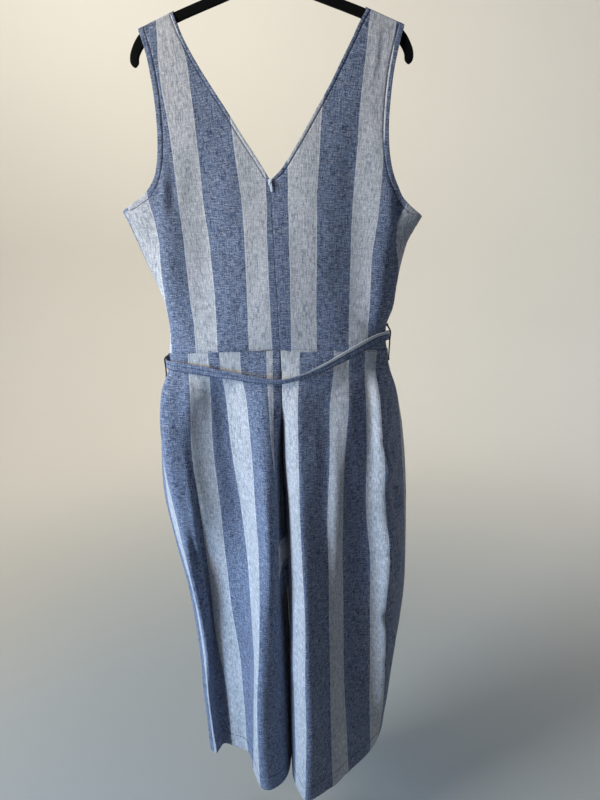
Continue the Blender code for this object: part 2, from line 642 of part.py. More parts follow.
def outline_solid(name, rings, thick, holder):
    """Plate from closed outlines in its own plane, the inner ones being holes."""
    flat = bpy.data.curves.new(name, "CURVE")
    flat.dimensions = "2D"
    flat.fill_mode = "BOTH"
    flat.extrude = thick / 2 * MM
    for ring_points in rings:
        run = flat.splines.new("POLY")
        run.points.add(len(ring_points) - 1)
        for slot, (x, y) in zip(run.points, ring_points):
            slot.co = (x * MM, y * MM, 0.0, 1.0)
        run.use_cyclic_u = True
    made = bpy.data.objects.new(name, flat)
    holder.objects.link(made)
    return made


cutters = bpy.data.collections.new("cutters")
scene.collection.children.link(cutters)

block = bmesh.new()
bmesh.ops.create_cube(block, size=1.0)
for v in block.verts:
    v.co = Vector((v.co.x * SLIDER_WIDE, v.co.y * SLIDER_THICK, v.co.z * SLIDER_LONG)) * MM
    v.co += Vector((CB_TOP_X, slider_y, PIVOT_Z + 0.2)) * MM
bmesh.ops.bevel(block, geom=list(block.edges), offset=0.5 * MM, segments=2, affect="EDGES",
                profile=0.5)
mesh = bpy.data.meshes.new("zip_slider")
block.to_mesh(mesh)
block.free()
slider = place("zip_slider", mesh, silver)

BAIL = ((-2.2, 0.4), (-2.2, -1.6), (-1.7, -2.4), (-0.9, -2.75), (0.9, -2.75), (1.7, -2.4),
        (2.2, -1.6), (2.2, 0.4), (1.5, 0.4), (1.5, -1.3), (1.2, -1.8), (0.7, -2.05),
        (-0.7, -2.05), (-1.2, -1.8), (-1.5, -1.3), (-1.5, 0.4))
arch = bmesh.new()
sides = []
for x in (-BAIL_WIDE / 2, BAIL_WIDE / 2):
    sides.append([arch.verts.new(Vector((CB_TOP_X + x, face_y + y, PIVOT_Z + z)) * MM)
                  for z, y in BAIL])
count = len(BAIL)
for i in range(count):
    j = (i + 1) % count
    arch.faces.new((sides[0][i], sides[0][j], sides[1][j], sides[1][i]))
for side in sides:
    for i in range(count // 2 - 1):
        arch.faces.new((side[i], side[i + 1], side[count - 2 - i], side[count - 1 - i]))
bmesh.ops.recalc_face_normals(arch, faces=arch.faces)
mesh = bpy.data.meshes.new("bail_form")
arch.to_mesh(mesh)
arch.free()
bail = bpy.data.objects.new("bail_form", mesh)
cutters.objects.link(bail)
bail.hide_render = True
bail.display_type = "WIRE"
join = slider.modifiers.new("bail", "BOOLEAN")
join.operation = "UNION"
join.solver = "EXACT"
join.object = bail

# Pull tab: a plate with a slot; its top bar runs inside the bail
lean = math.radians(PULL_LEAN)


def leaned(x, z):
    return (x * math.cos(lean) - z * math.sin(lean), x * math.sin(lean) + z * math.cos(lean))


wide = PULL_WIDE / 2
tab = [(-1.6, 0.45), (1.6, 0.45), (wide, 0.0), (wide, -4.5), (1.7, -6.5), (1.75, -12.5),
       (1.3, -14.1), (0.6, -PULL_LONG + 0.4), (-0.6, -PULL_LONG + 0.4), (-1.3, -14.1),
       (-1.75, -12.5), (-1.7, -6.5), (-wide, -4.5), (-wide, 0.0)]
slot_hole = [(-1.2, -0.45), (1.2, -0.45), (1.2, -3.2), (0.8, -3.7), (-0.8, -3.7), (-1.2, -3.2)]
pull = outline_solid("zip_pull", [[leaned(*p) for p in tab], [leaned(*p) for p in slot_hole]],
                     PULL_THICK, parts)
pull.data.materials.append(silver)
pull.rotation_euler = (math.radians(90), 0.0, 0.0)
pull.location = pivot * MM

# Belt: one strip round the waist, its ends meeting at the knot in front
count = len(BELT)
knots = [Vector(row[:3]) for row in BELT]
line = curve_through(knots, (2,) * (count - 1))
leans = []
for i in range(count - 1):
    leans += [BELT[i][3], (BELT[i][3] + BELT[i + 1][3]) / 2]
leans.append(BELT[-1][3])
stations = []
for i, p in enumerate(line):
    along = (line[min(i + 1, len(line) - 1)] - line[max(i - 1, 0)]).normalized()
    up = (Vector((0, 0, 1)) - along * along.z).normalized()
    out = along.cross(up)
    turn = math.radians(leans[i])
    stations.append((p, up * math.cos(turn) + out * math.sin(turn),
                     out * math.cos(turn) - up * math.sin(turn)))
strip("belt", stations, BELT_WIDE, BELT_THICK, belt_blue)

ball = bmesh.new()
bmesh.ops.create_uvsphere(ball, u_segments=16, v_segments=9, radius=1.0)
for v in ball.verts:
    pinch = 1.0 - 0.16 * math.cos(2 * math.atan2(v.co.y, v.co.x) + 2.4 * v.co.z)
    v.co = Vector((v.co.x * 11.2, v.co.y * 5.0 * pinch, v.co.z * 9.5 * pinch)) * MM
    v.co += Vector((KNOT_X, KNOT_Y, KNOT_Z)) * MM
mesh = bpy.data.meshes.new("belt_knot")
ball.to_mesh(mesh)
ball.free()
place("belt_knot", mesh, belt_blue)

# Hanging ends of the belt, lying on the front: side offset at the knot and the tip
TAILS = (("belt_end_left", -4.5, -16.0, 0.0), ("belt_end_right", 4.5, 12.0, -22.0))
TAIL_PATH = ((0.0, 59.0), (0.15, 67.5), (0.4, 80.5), (0.65, 90.5), (1.0, 92.5))
for name, near, far, more in TAILS:
    marks = [Vector((KNOT_X + near + (far - near) * part, y,
                     KNOT_Z - 11.0 - (TAIL_LONG + more) * part)) for part, y in TAIL_PATH]
    path = curve_through(marks, (3,) * (len(marks) - 1))
    stations = []
    for i, p in enumerate(path):
        along = (path[min(i + 1, len(path) - 1)] - path[max(i - 1, 0)]).normalized()
        across = Vector((1, 0, 0)) - along * along.x
        across.normalize()
        stations.append((p, across, along.cross(across)))
    strip(name, stations, 8.5, BELT_THICK, belt_blue)

# Thread loops at the side seams, each round the belt
SIDE_SEAMS = {
    -1.0: [row[-1] for row in left_back[:UNDERARM + 2]] + [row[0] for row in left_leg],
    1.0: [row[-1] for row in right_back[:UNDERARM + 2]] + [row[0] for row in right_leg],
}


def on_side_seam(side, z):
    """Point of a side seam at a height."""
    seam = sorted(SIDE_SEAMS[side], key=lambda p: p.z)
    k = max(i for i, p in enumerate(seam[:-1]) if p.z <= z)
    return seam[k].lerp(seam[k + 1], (z - seam[k].z) / (seam[k + 1].z - seam[k].z))


for name, top, bottom, held, side in LOOPS:
    off = Vector((side * (LOOP_THREAD + SEAT), 0.0, 0.0))
    belt_face = Vector(BELT[held][:3]) + off + Vector((side * BELT_THICK / 2, 0.0, 0.0))
    half_belt = Vector((0.0, 0.0, BELT_WIDE / 2))
    marks = [on_side_seam(side, top) + off, belt_face + half_belt, belt_face - half_belt,
             on_side_seam(side, bottom) + off]
    wire(name, curve_through(marks, (4, 4, 5)), LOOP_THREAD, navy, 1)

for made in parts.objects:
    if made.type == "MESH":
        made.data.shade_smooth()
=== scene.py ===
"""Looks of the striped jumpsuit on its hanger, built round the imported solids.

Frame: +Z up, -Y is the garment's back, +X is to the right seen from that side, and the
origin is where a rail bears in the hanger's hook.  Tables are in millimetres, and MM
turns them to metres.  Fabric coordinates: s runs across the cloth from stripe to stripe,
0 to 41 mm is a pale stripe and 41 to 96 mm a blue one; t runs along the stripes.
"""
import math

import bpy
import bmesh
import numpy as np
from mathutils import Matrix, Vector


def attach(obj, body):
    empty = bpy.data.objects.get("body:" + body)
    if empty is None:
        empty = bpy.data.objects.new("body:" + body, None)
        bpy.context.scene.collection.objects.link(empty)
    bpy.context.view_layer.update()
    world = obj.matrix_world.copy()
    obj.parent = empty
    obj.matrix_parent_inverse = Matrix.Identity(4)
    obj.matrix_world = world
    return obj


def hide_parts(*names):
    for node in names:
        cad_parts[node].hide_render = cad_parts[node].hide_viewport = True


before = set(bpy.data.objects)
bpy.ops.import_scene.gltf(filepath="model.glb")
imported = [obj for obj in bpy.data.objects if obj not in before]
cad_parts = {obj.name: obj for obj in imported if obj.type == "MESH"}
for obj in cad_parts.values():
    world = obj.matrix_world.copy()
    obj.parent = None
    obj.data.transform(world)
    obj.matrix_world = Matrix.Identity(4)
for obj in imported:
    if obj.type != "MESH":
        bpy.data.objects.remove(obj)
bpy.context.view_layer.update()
MM = 0.001
BODY = "jumpsuit"

# ------------------------------------------------------------ sizes, as in the solids
SHELL = 0.9           # thickness of the shown cloth
SEAM = 0.15           # half the gap between two panels at a seam
WAIST_Z = -624.0
WAIST_DROP_LEFT = 14.0              # how much lower the waist seam is at its ends
WAIST_DROP_RIGHT = 4.0
V_POINT_Z = -357.0
FRONT_V_DROP = 26.0   # how much lower the front's V is
CB_TOP_X = 0.5        # centre back seam at the V, and at the waist
CB_WAIST_X = 15.5
CROTCH_Z = -985.0
CROTCH_REACH = 70.0   # how far above it the two legs part
HEM_Z = -1531.0

# z, left side x, right side x, side y, back y, front y
TUBE = (
    (-112, -246, 244, -1.5, -8, 8),
    (-200, -252, 248, -1, -14, 14),
    (-300, -256, 250, 0, -21, 20),
    (-404, -248, 246, 1, -28, 28),
    (-437, -233, 229, 2, -31, 31),
    (-472, -218, 215, 2, -34, 34),
    (-513, -202, 208, 3, -37, 38),
    (-545, -190, 206, 4, -39, 41),
    (-570, -184, 201, 4, -41, 43),
    (-595, -182, 194, 5, -43, 45),
    (-645, -186, 198, 5, -46, 48),
)

# Bodice lines: middle z | left outer x, z | right outer x, z
LINES = (
    (-590, -182, -594, 192.5, -592),
    (-555, -186, -558, 203, -557),
    (-520, -198, -523, 207, -524),
    (-485, -213, -486, 212, -490),
    (-450, -230, -444, 221, -452),
    (-422, -240, -420, 232, -430),
    (-400, -247.5, -404, 243, -411),
    (-382, -226, -391, 223, -396),
    (-368, -208, -380, 209, -382),
    (-357, -196, -368, 201, -367),
    (-342, -187.5, -355, 194, -352),
    (-322, -182, -339, 188, -332),
    (-292, -178, -312, 184, -306),
    (-258, -177, -277, 182.5, -273),
    (-222, -179, -240, 184, -238),
    (-188, -183, -207, 187, -205),
    (-158, -188, -178, 192, -176),
    (-134, -194.5, -155, 197, -154),
    (-121.5, -199, -143.5, 200, -143.5),
)
SHOULDER_X = 145.0    # inner end of the shoulder's slope
SHOULDER_Z = -117.0
SHOULDER_SLOPE = 0.407
UNDERARM = 6          # number of the line that ends under the arms
V_LINE = 9            # and of the one that starts at the V's point

# Neck edge: z, left x, right x
NECK = (
    (-112, -148, 146),
    (-121.5, -144.4, 142.8),
    (-134, -139, 135.5),
    (-158, -128, 124),
    (-188, -111, 108.5),
    (-222, -89, 91),
    (-258, -64.5, 69.5),
    (-292, -42.5, 49.5),
    (-322, -22, 30.5),
    (-342, -9, 16.5),
    (-357, 0.35, 0.65),
)
NECK_FRONT_SPREAD = 9.0             # how much wider the front's V is

# Trouser sections of the back panels: z, then x, y of the named fold lines
LEFT_NAMES = ("side", "flank", "ridge", "valley", "foot", "slope", "step", "wall",
              "crest", "inner", "cleft", "seam")
LEFT_BACK = (
    (-662, ((-187, 8), (-181, -7), (-170, -15), (-157, -21), (-147, -24), (-108, -33),
              (-88, -37), (-51, -44), (-15, -50), (3, -50), (10, -49), (16.5, -47))),
    (-715, ((-208, 32), (-196, -16), (-178, -28), (-158, -33), (-144, -34), (-110, -20),
              (-85, -16), (-43, -44), (-16, -58), (4, -56), (12, -53), (17.5, -50))),
    (-815, ((-223, 46), (-197, -24), (-178, -32), (-158, -34), (-147, -32), (-110, -18),
              (-79, -12), (-37, -42), (-13, -62), (4, -56), (8, -40), (13.5, -12))),
    (-920, ((-223, 36), (-186, -24), (-163, -32), (-144, -32), (-138, -30), (-102, -18),
              (-66, -12), (-32, -46), (-8, -74), (8, -60), (10, -38), (15, 6))),
    (-1020, ((-196, 12), (-176, -20), (-160, -30), (-142, -14), (-135, -12), (-96, -14),
              (-54, -26), (-26, -62), (-5, -82), (10, -62), (11, -42), (17, 10))),
    (-1130, ((-170, 2), (-160, -12), (-149, -22), (-139, 10), (-128, 8), (-86, -10),
              (-47, -42), (-25, -82), (-7, -84), (11, -62), (13, -44), (19, 10))),
    (-1250, ((-157, 1), (-150, -9), (-141, -12), (-137, 22), (-124, 17), (-77, -6),
              (-45, -46), (-28, -86), (-8, -85), (13, -62), (18, -44), (23, 10))),
    (-1380, ((-151, -1), (-146, -8), (-141, -5), (-135, 26), (-112, 21), (-73, -2),
              (-49, -46), (-30, -86), (-10, -85), (14, -62), (22, -44), (25, 10))),
    (-1531, ((-142, -2), (-135, -5), (-131, 2), (-125, 21), (-105, 19), (-68, 3),
              (-51, -42), (-29, -79), (-12, -86), (13, -68), (24, -44), (26, 10))),
)
LEG_GAP = 0.2         # shown gap between the legs' inner seams
LEFT_WAIST_X = (-186, -178, -168, -156, -145, -108, -89, -52, -15, 3, 9.5, 15.3)

RIGHT_NAMES = ("side", "flank", "quarter", "third", "half", "shoulder", "crest",
               "rise", "cleft", "seam")
RIGHT_BACK = (
    (-662, ((201, 10), (176, -18), (157, -27), (130, -37), (104, -45),
              (75, -51), (48, -54), (35, -52), (24, -49), (17.5, -47))),
    (-715, ((219, 36), (183, -36), (161, -32), (131, -48), (99, -50),
              (72, -58), (46, -66), (34, -60), (25, -54), (18, -50))),
    (-815, ((238, 50), (193, -42), (165, -36), (127, -58), (100, -60),
              (74, -68), (48, -76), (33, -60), (20, -40), (15, -12))),
    (-920, ((247, 46), (203, -42), (167, -34), (127, -60), (98, -64),
              (74, -74), (51, -82), (38, -66), (28, -46), (18, 6))),
    (-1020, ((250, 38), (214, -42), (178, -28), (128, -52), (102, -64),
              (79, -78), (56, -88), (42, -70), (30, -50), (20, 10))),
    (-1130, ((253, 44), (212, -34), (182, -22), (131, -40), (105, -62),
              (83, -80), (61, -93), (45, -74), (31, -52), (23, 10))),
    (-1250, ((246, 48), (216, -30), (186, -22), (134, -42), (108, -66),
              (85, -84), (62, -96), (46, -78), (31, -56), (27, 10))),
    (-1380, ((234, 45), (217, -20), (189, -22), (141, -46), (112, -72),
              (89, -90), (65, -101), (47, -80), (32, -56), (29, 10))),
    (-1531, ((224, 48), (214, 20), (196, -8), (150, -42), (117, -74),
              (90, -92), (63, -104), (44, -78), (33, -48), (30, 10))),
)
RIGHT_WAIST_X = (197, 178, 157, 130, 104, 75, 48, 35, 24, 15.7)
RIGHT_HEM_RISE = (44, 38, 31, 8, 3, 0, 0, 0, 0, 0)

# Front panels: z | outermost x, y | depths of bulge, dip, middle, hollow, round | x, y
LEFT_FRONT = (
    (-662, (-186, 19), (28, 40, 47, 50, 51), (8, 51)),
    (-715, (-207, 46), (56, 62, 64, 60, 63), (8, 62)),
    (-815, (-222, 60), (76, 76, 84, 78, 82), (9, 78)),
    (-920, (-226, 48), (72, 70, 86, 74, 84), (9, 74)),
    (-1020, (-204, 24), (56, 58, 82, 68, 80), (9, 66)),
    (-1130, (-179, 13), (46, 56, 80, 64, 78), (11, 60)),
    (-1250, (-166, 11), (44, 56, 80, 62, 76), (14, 58)),
    (-1380, (-160, 8), (42, 56, 82, 62, 77), (16, 58)),
    (-1531, (-151, 6), (40, 56, 84, 64, 78), (18, 58)),
)
RIGHT_FRONT = (
    (-662, (200, 22), (31, 42, 49, 51, 51), (27, 51)),
    (-715, (218, 52), (66, 66, 70, 62, 64), (27, 62)),
    (-815, (238, 68), (88, 82, 92, 80, 84), (27, 78)),
    (-920, (248, 64), (90, 80, 96, 80, 86), (29, 74)),
    (-1020, (252, 56), (86, 78, 96, 78, 86), (31, 68)),
    (-1130, (255, 62), (90, 80, 98, 76, 84), (34, 62)),
    (-1250, (248, 66), (92, 82, 98, 74, 82), (36, 60)),
    (-1380, (236, 62), (90, 82, 98, 74, 82), (38, 60)),
    (-1531, (226, 64), (88, 82, 98, 76, 84), (40, 60)),
)
FRONT_FRACTIONS = (0.06, 0.24, 0.48, 0.72, 0.90)
FRONT_HEM_RISE_RIGHT = (43, 40, 34, 24, 12, 5, 0, 0, 0)
FRONT_SEAM = (
    (-624, 47.5), (-662, 51), (-715, 61), (-815, 76), (-870, 74),
    (-920, 62), (-955, 40), (-985, 10.6), (-1020, 10.4), (-1531, 10.4),
)

# Belt round the waist: x, y, z, lean of the strip in degrees
BELT = (
    (1.4, 56.5, -650, 0), (-45, 53.5, -651, 0), (-95, 50.5, -653, 0),
    (-140, 45, -653, 0), (-174, 34.5, -655, 0), (-190.5, 21, -657.5, 0),
    (-193, 7, -659.5, 0), (-186, -9.5, -660.5, 2), (-165, -24, -660, 4),
    (-126, -36, -662.5, 8), (-89, -45, -666, 12), (-53, -53, -669.5, 16),
    (-18, -61, -672.5, 20), (17, -64, -673.5, 22), (49, -63, -665.5, 20),
    (82, -57, -653, 15), (115, -48.5, -637, 10), (148, -38, -620.5, 7),
    (175, -24, -608, 4), (193, -10, -604.5, 2), (198, 5, -606, 0),
    (193, 17.5, -609, 0), (175, 29.5, -616, 0), (138, 43.5, -626, 0),
    (95, 51, -636, 0), (52, 54, -645, 0), (24.6, 56.5, -649.5, 0),
)
BELT_WIDE = 14.5
BELT_SHOWN = BELT_WIDE + 1.5    # the shown belt, as flat as cloth gets
# How wide the belt lies across the back, as a share: x | share
BELT_SHARE = (
    (-193, 1), (-140, 1.10), (-95, 1.04), (-33, 0.80), (10, 0.62),
    (36, 0.60), (70, 0.72), (105, 0.94), (139, 1.14), (173, 1.08), (198, 1),
)
BELT_THICK = 1.6
KNOT = (13.0, 57.6, -650.0)
TURN_WIDE = 11.0      # width of the belt where it turns over the knot
TAIL_LONG = 240.0
TAIL_WIDE = 10.0
# Free ends: name | x from the knot at the top and at the end | how much longer
TAILS = (("belt_tail_left", -4.5, -16.0, 0.0), ("belt_tail_right", 4.5, 12.0, -22.0))
# Share of its length | y
TAIL_PATH = ((0.0, 59.0), (0.15, 67.5), (0.4, 80.5), (0.65, 90.5), (1.0, 92.5))

# Hanger: left half outline x, z, thickness and rounding
HANGER_OUTLINE = (
    (0, -63), (-12, -64.5), (-25, -73), (-45, -83), (-101, -103),
    (-145, -118.8), (-172, -130), (-188, -138), (-201, -148.8),
    (-210, -162), (-215.5, -176), (-215, -187), (-209.5, -192),
    (-203.5, -187), (-202, -178), (-196, -167), (-187, -158),
    (-172, -146.5), (-140, -132), (-59, -103), (-35, -93.5), (0, -86),
)
HANGER_THICK = 6.0
HANGER_ROUND = 1.6

# ------------------------------------------------------------------ stripes, in fabric s
PALE = 41.0
PERIOD = 96.0

# Where the stripes' edges run on the bodice's back: z | x at s = 192, 137, 96, 41, 0
LEFT_EDGES = (
    (-110, -212, -174, -153, -98, -8),
    (-147, -208, -170.5, -137.5, -84, -8),
    (-183, -206, -170.3, -126, -74, -8),
    (-222, -205, -167.5, -121.5, -68, -8),
    (-270, -203, -160, -116.5, -61, -8),
    (-313, -202, -155, -113, -56, -7.5),
    (-357, -201, -151, -110, -50, -6.5),
    (-387, -197, -149, -108, -46, -5.5),
    (-412, -190.5, -146.5, -105, -44, -5),
    (-446, -182.5, -143, -100.5, -42, -4.5),
    (-480, -181.5, -141, -97.5, -40.5, -3),
    (-542, -178.5, -137, -93, -39, -1),
    (-607, -177, -131, -91, -38, 2),
    (-645, -177, -129, -90, -37.5, 3.5),
)
LEFT_EDGE_S = (192.0, 137.0, 96.0, 41.0, 0.0)
# z | x at s = 0, 41, 96, 137, 192
RIGHT_EDGES = (
    (-110, 14, 110, 151.5, 189.5, 226),
    (-147, 16, 98, 146.8, 187.8, 224),
    (-183, 18, 91, 144, 184.8, 223),
    (-222, 20, 85, 139.8, 179.5, 222),
    (-270, 23, 80, 136.5, 177.5, 221),
    (-313, 26, 78, 135, 176, 220),
    (-357, 27.5, 75.5, 132, 174.5, 219),
    (-391, 28, 74, 130, 172.5, 215),
    (-405, 28.5, 74.5, 129.5, 171.5, 208.8),
    (-422, 29, 75, 129, 170, 201),
    (-463, 30, 75, 129, 164.5, 202),
    (-490, 31, 75, 129, 163, 207),
    (-542, 32, 75, 129, 162, 207.5),
    (-607, 33, 76, 129, 161, 198),
    (-645, 33.5, 76.5, 129, 161, 198),
)
RIGHT_EDGE_S = (0.0, 41.0, 96.0, 137.0, 192.0)
LAST_EDGE = 192.0
# s at the side seam under the arms: z, left s, right s
SIDE_S = (
    (-400, 232, 232), (-425, 231, 229), (-450, 229, 213),
    (-480, 219, 197), (-530, 203, 193), (-640, 198, 193),
)

# Stripes on the trousers: z | s at the named fold lines; two values meet at a dart
LEFT_MARKS = ("flank", "foot", "slope", "slope", "step", "wall", "inner")
LEFT_S = (
    (-624, 173, 137, 96, 58, 41, 0, -69),
    (-662, 179, 137, 96, 65, 41, 0, -68),
    (-715, 186, 137, 96, 77, 41, 0, -66),
    (-790, 191, 137, 96, 91, 41, 0, -62),
    (-850, 192, 137, 96, 96, 41, 0, -55),
    (-1020, 192, 135.5, 94.5, 94.5, 41, 0, -55),
    (-1140, 192, 129.5, 89.5, 89.5, 41, 0, -55),
    (-1200, 192, 131, 91, 91, 41, 0, -55),
    (-1310, 192, 137, 96, 96, 41, 0, -55),
    (-1531, 192, 137, 96, 96, 41, 0, -55),
)
RIGHT_MARKS = ("flank", "quarter", "third", "third", "half", "crest")
RIGHT_S = (
    (-624, 233, 192, 168, 122, 96, 41),
    (-662, 233, 192, 162, 125, 96, 41),
    (-715, 233, 192, 152, 130, 96, 41),
    (-790, 233, 192, 142, 134.5, 96, 41),
    (-850, 233, 192, 137, 137, 96, 41),
    (-1531, 233, 192, 137, 137, 96, 41),
)

# ----------------------------------------------------------- creases, placed one by one
# a0, z0, a1, z1, bow, half width, depth (negative is a trough), all in millimetres;
# a is x on the bodice and the fabric's s on the legs
CREASES = {
    "bodice_back_left": (
        (-10, -374, 6, -680, 2, 46, 4.5),
        (-169, -322, -178, -440, 3, 6.5, 2.6), (-157, -340, -161, -430, 2, 6, -2.4),
        (-198, -385, -188, -440, 3, 5, -1.4), (-48, -533, -63, -578, 2, 3.6, -2),
        (-57, -528, -74, -570, -2, 4, 1.6), (-100, -606, -172, -528, 8, 9, -1.3),
        (-22, -420, -34, -570, 4, 12, -1.1), (-118, -370, -124, -520, -6, 13, 1.3),
        (-84, -250, -92, -420, 6, 15, -1), (-150, -560, -176, -612, 5, 6, -1.5),
        (-113, -260, -106, -690, -4, 26, -5), (-172, -440, -170, -610, -2, 14, 2.5),
        (-172, -330, -164, -690, 4, 18, 4.5),
        (-160, -119, -155, -170, 1, 3, -0.6), (-153, -117, -147, -180, -1, 3, 0.5),
        (-170, -122, -166, -158, 1, 2.2, -0.6), (-181, -128, -178, -190, 2, 4, 0.7),
    ),
    "bodice_back_right": (
        (-10, -374, 6, -680, 2, 46, 4.5),
        (201, -376, 199, -428, 3, 6.5, -4.4), (186, -345, 190, -470, 3, 8, 2.4),
        (214, -396, 206, -452, 2, 5, 1.4), (171, -124, 160, -238, 3, 4.5, -0.8),
        (164, -128, 152, -230, 2, 4, 0.8), (166, -430, 172, -580, 5, 11, -1.3),
        (36, -400, 44, -560, 5, 13, -1), (96, -380, 92, -560, -6, 14, 1.1),
        (140, -570, 190, -600, -5, 7, -1.5), (112, -300, 124, -420, 6, 13, -0.9),
        (150, -120, 147, -155, 1, 3, -0.45), (182, -130, 179, -175, 1, 3.5, -0.45),
        (134, -200, 130, -700, 3, 22, -5), (180, -260, 176, -660, 3, 16, 3.5),
        (178, -440, 172, -610, 2, 14, 3),
        (70, -260, 62, -600, -6, 30, 2.5),
        (28, -402, 27, -446, 0, 1.6, -1.2),
    ),
    "bodice_front": (
        (-150, -420, -120, -560, 6, 12, -1.4), (-70, -440, -60, -590, -5, 13, 1.2),
        (60, -430, 72, -580, 6, 13, -1.3), (140, -410, 128, -560, -6, 12, 1.2),
        (-178, -340, -196, -450, 4, 7, -2.4), (184, -345, 200, -450, 4, 7, -2.4),
        (20, -470, 40, -600, 5, 11, -0.9), (-160, -140, -150, -260, 4, 5, -0.8),
        (160, -140, 150, -260, 4, 5, -0.8), (-100, -330, -60, -520, 8, 14, 1.1),
        (110, -340, 60, -540, -8, 14, -1.1), (-150, -600, -100, -540, 6, 8, -1.2),
    ),
    "leg_back_left": (
        (141, -740, 140, -1420, 2, 5.5, -4.5), (151, -760, 149, -1400, 2, 8, 3.5),
        (178, -625, 181, -1040, 2, 20, 7), (120, -680, 118, -1000, 2, 22, -4),
        (-96, -965, -92, -1085, 2, 17, 7),
        (150, -630, 160, -800, 4, 10, -2.6),
        (173, -930, 186, -1370, 3, 8, 4.5), (160, -930, 176, -1370, 3, 6.5, -6),
        (60, -1080, 60, -1600, 2, 20, -5), (127, -1010, 127, -1640, 2, 18, 5.5),
        (184, -1100, 184, -1640, 2, 14, -3), (-4, -1180, -4, -1640, 2, 16, 4.5),
        (112, -650, 106, -800, 5, 9, 1.1),
        (20, -650, 12, -800, 5, 10, -1.1), (-24, -700, -30, -900, 4, 9, 1),
        (176, -900, 168, -1120, 6, 7, 1.2), (70, -1000, 62, -1260, 8, 12, -1.2),
        (120, -1050, 110, -1330, 7, 11, 1.1), (22, -1150, 30, -1420, 6, 10, -1),
        (150, -1250, 158, -1480, 5, 8, -1.3), (-20, -1200, -12, -1490, 5, 10, 1),
        (84, -1420, 96, -1525, 4, 9, 1.2), (-36, -1430, -24, -1528, 4, 8, -1.4),
    ),
    "leg_back_right": (
        (246, -700, 237, -780, 5, 7, -4.4), (226, -770, 255, -840, 6, 7.5, -6.5),
        (237, -820, 263, -880, -5, 6.5, 3.6), (246, -860, 262, -960, 5, 8, -7),
        (237, -980, 251, -1100, 5, 8, -6.5), (228, -1120, 256, -1190, -6, 7.5, -5.5),
        (241, -1190, 262, -1250, 5, 6.5, 3.2), (227, -1240, 257, -1310, 4, 6.5, -3.6),
        (206, -905, 246, -932, 3, 5, -2.4), (212, -1025, 250, -1000, 3, 5, -2.2),
        (234, -940, 238, -1040, 3, 6, 3.4), (238, -760, 234, -890, 4, 8, 4.5),
        (121, -700, 117, -860, 5, 10, -1.1), (69, -720, 63, -900, 4, 9, 1),
        (171, -900, 163, -1150, 8, 12, -1.2), (71, -1100, 77, -1400, 6, 11, 1.1),
        (141, -1250, 153, -1480, 6, 11, -1.3), (201, -1350, 211, -1500, 5, 8, -1.5),
        (21, -900, 15, -1300, 6, 8, -1),
        (110, -700, 108, -1160, 3, 12, 2), (88, -720, 86, -1160, 2, 17, -2),
        (106, -1040, 104, -1620, 3, 14, 3), (88, -980, 86, -1620, 2, 18, -4),
        (146, -720, 146, -1120, 3, 19, -5.5), (233, -640, 232, -900, 2, 14, 5),
        (198, -640, 196, -900, 2, 13, -3.5), (46, -1120, 47, -1640, 3, 16, 3.5),
    ),
    "leg_front_left": (
        (40, -660, 60, -860, 6, 9, -1.5), (110, -650, 120, -900, -6, 11, 1.3),
        (200, -700, 190, -950, 6, 10, -1.4), (90, -1000, 84, -1300, 7, 11, -1.3),
        (170, -1050, 180, -1400, -6, 12, 1.3), (230, -1000, 226, -1350, 5, 9, -1.2),
        (60, -1300, 70, -1500, 5, 9, 1.2), (140, -1380, 150, -1525, 4, 9, -1.3),
    ),
    "leg_front_right": (
        (50, -670, 40, -870, 6, 9, -1.5), (120, -650, 110, -880, -6, 11, 1.3),
        (200, -720, 210, -960, 6, 10, -1.4), (80, -980, 92, -1280, 7, 11, -1.3),
        (180, -1050, 170, -1400, -6, 12, 1.3), (240, -1020, 236, -1350, 5, 9, -1.2),
        (70, -1300, 60, -1500, 5, 9, 1.2), (150, -1380, 140, -1525, 4, 9, -1.3),
    ),
}


# ------------------------------------------------------------------- curve helpers
def along(table, z):
    """Rows of the table's values at heights z, on smooth curves through its rows."""
    rows = np.array(sorted(table, key=lambda row: row[0]), float)
    height, value = rows[:, 0], rows[:, 1:]
    z = np.clip(np.atleast_1d(np.asarray(z, float)), height[0], height[-1])
    k = np.clip(np.searchsorted(height, z, side="left") - 1, 0, len(height) - 2)
    span = (height[k + 1] - height[k])[:, None]
    low = np.maximum(k - 1, 0)
    high = np.minimum(k + 2, len(height) - 1)
    m0 = (value[k + 1] - value[low]) / (height[k + 1] - height[low])[:, None]
    m1 = (value[high] - value[k]) / (height[high] - height[k])[:, None]
    t = (z - height[k])[:, None] / span
    return ((2 * t ** 3 - 3 * t ** 2 + 1) * value[k] + (t ** 3 - 2 * t ** 2 + t) * span * m0
            + (3 * t ** 2 - 2 * t ** 3) * value[k + 1] + (t ** 3 - t ** 2) * span * m1)


def column(table, z, k):
    """One column of a table at heights of any shape."""
    z = np.asarray(z, float)
    return along([(row[0], row[k]) for row in table], z.ravel())[:, 0].reshape(z.shape)


def bend(p0, p1, p2, p3, count):
    """Points from p1 to p2 on a centripetal curve, both ends included."""
    knots = [0.0]
    for a, b in ((p0, p1), (p1, p2), (p2, p3)):
        knots.append(knots[-1] + max(np.linalg.norm(b - a), 1e-6) ** 0.5)
    t0, t1, t2, t3 = knots
    t = (t1 + (t2 - t1) * np.linspace(0.0, 1.0, count + 1))[:, None]
    a1 = p0 * (t1 - t) / (t1 - t0) + p1 * (t - t0) / (t1 - t0)
    a2 = p1 * (t2 - t) / (t2 - t1) + p2 * (t - t1) / (t2 - t1)
    a3 = p2 * (t3 - t) / (t3 - t2) + p3 * (t - t2) / (t3 - t2)
    b1 = a1 * (t2 - t) / (t2 - t0) + a2 * (t - t0) / (t2 - t0)
    b2 = a2 * (t3 - t) / (t3 - t1) + a3 * (t - t1) / (t3 - t1)
    return b1 * (t2 - t) / (t2 - t1) + b2 * (t - t1) / (t2 - t1)


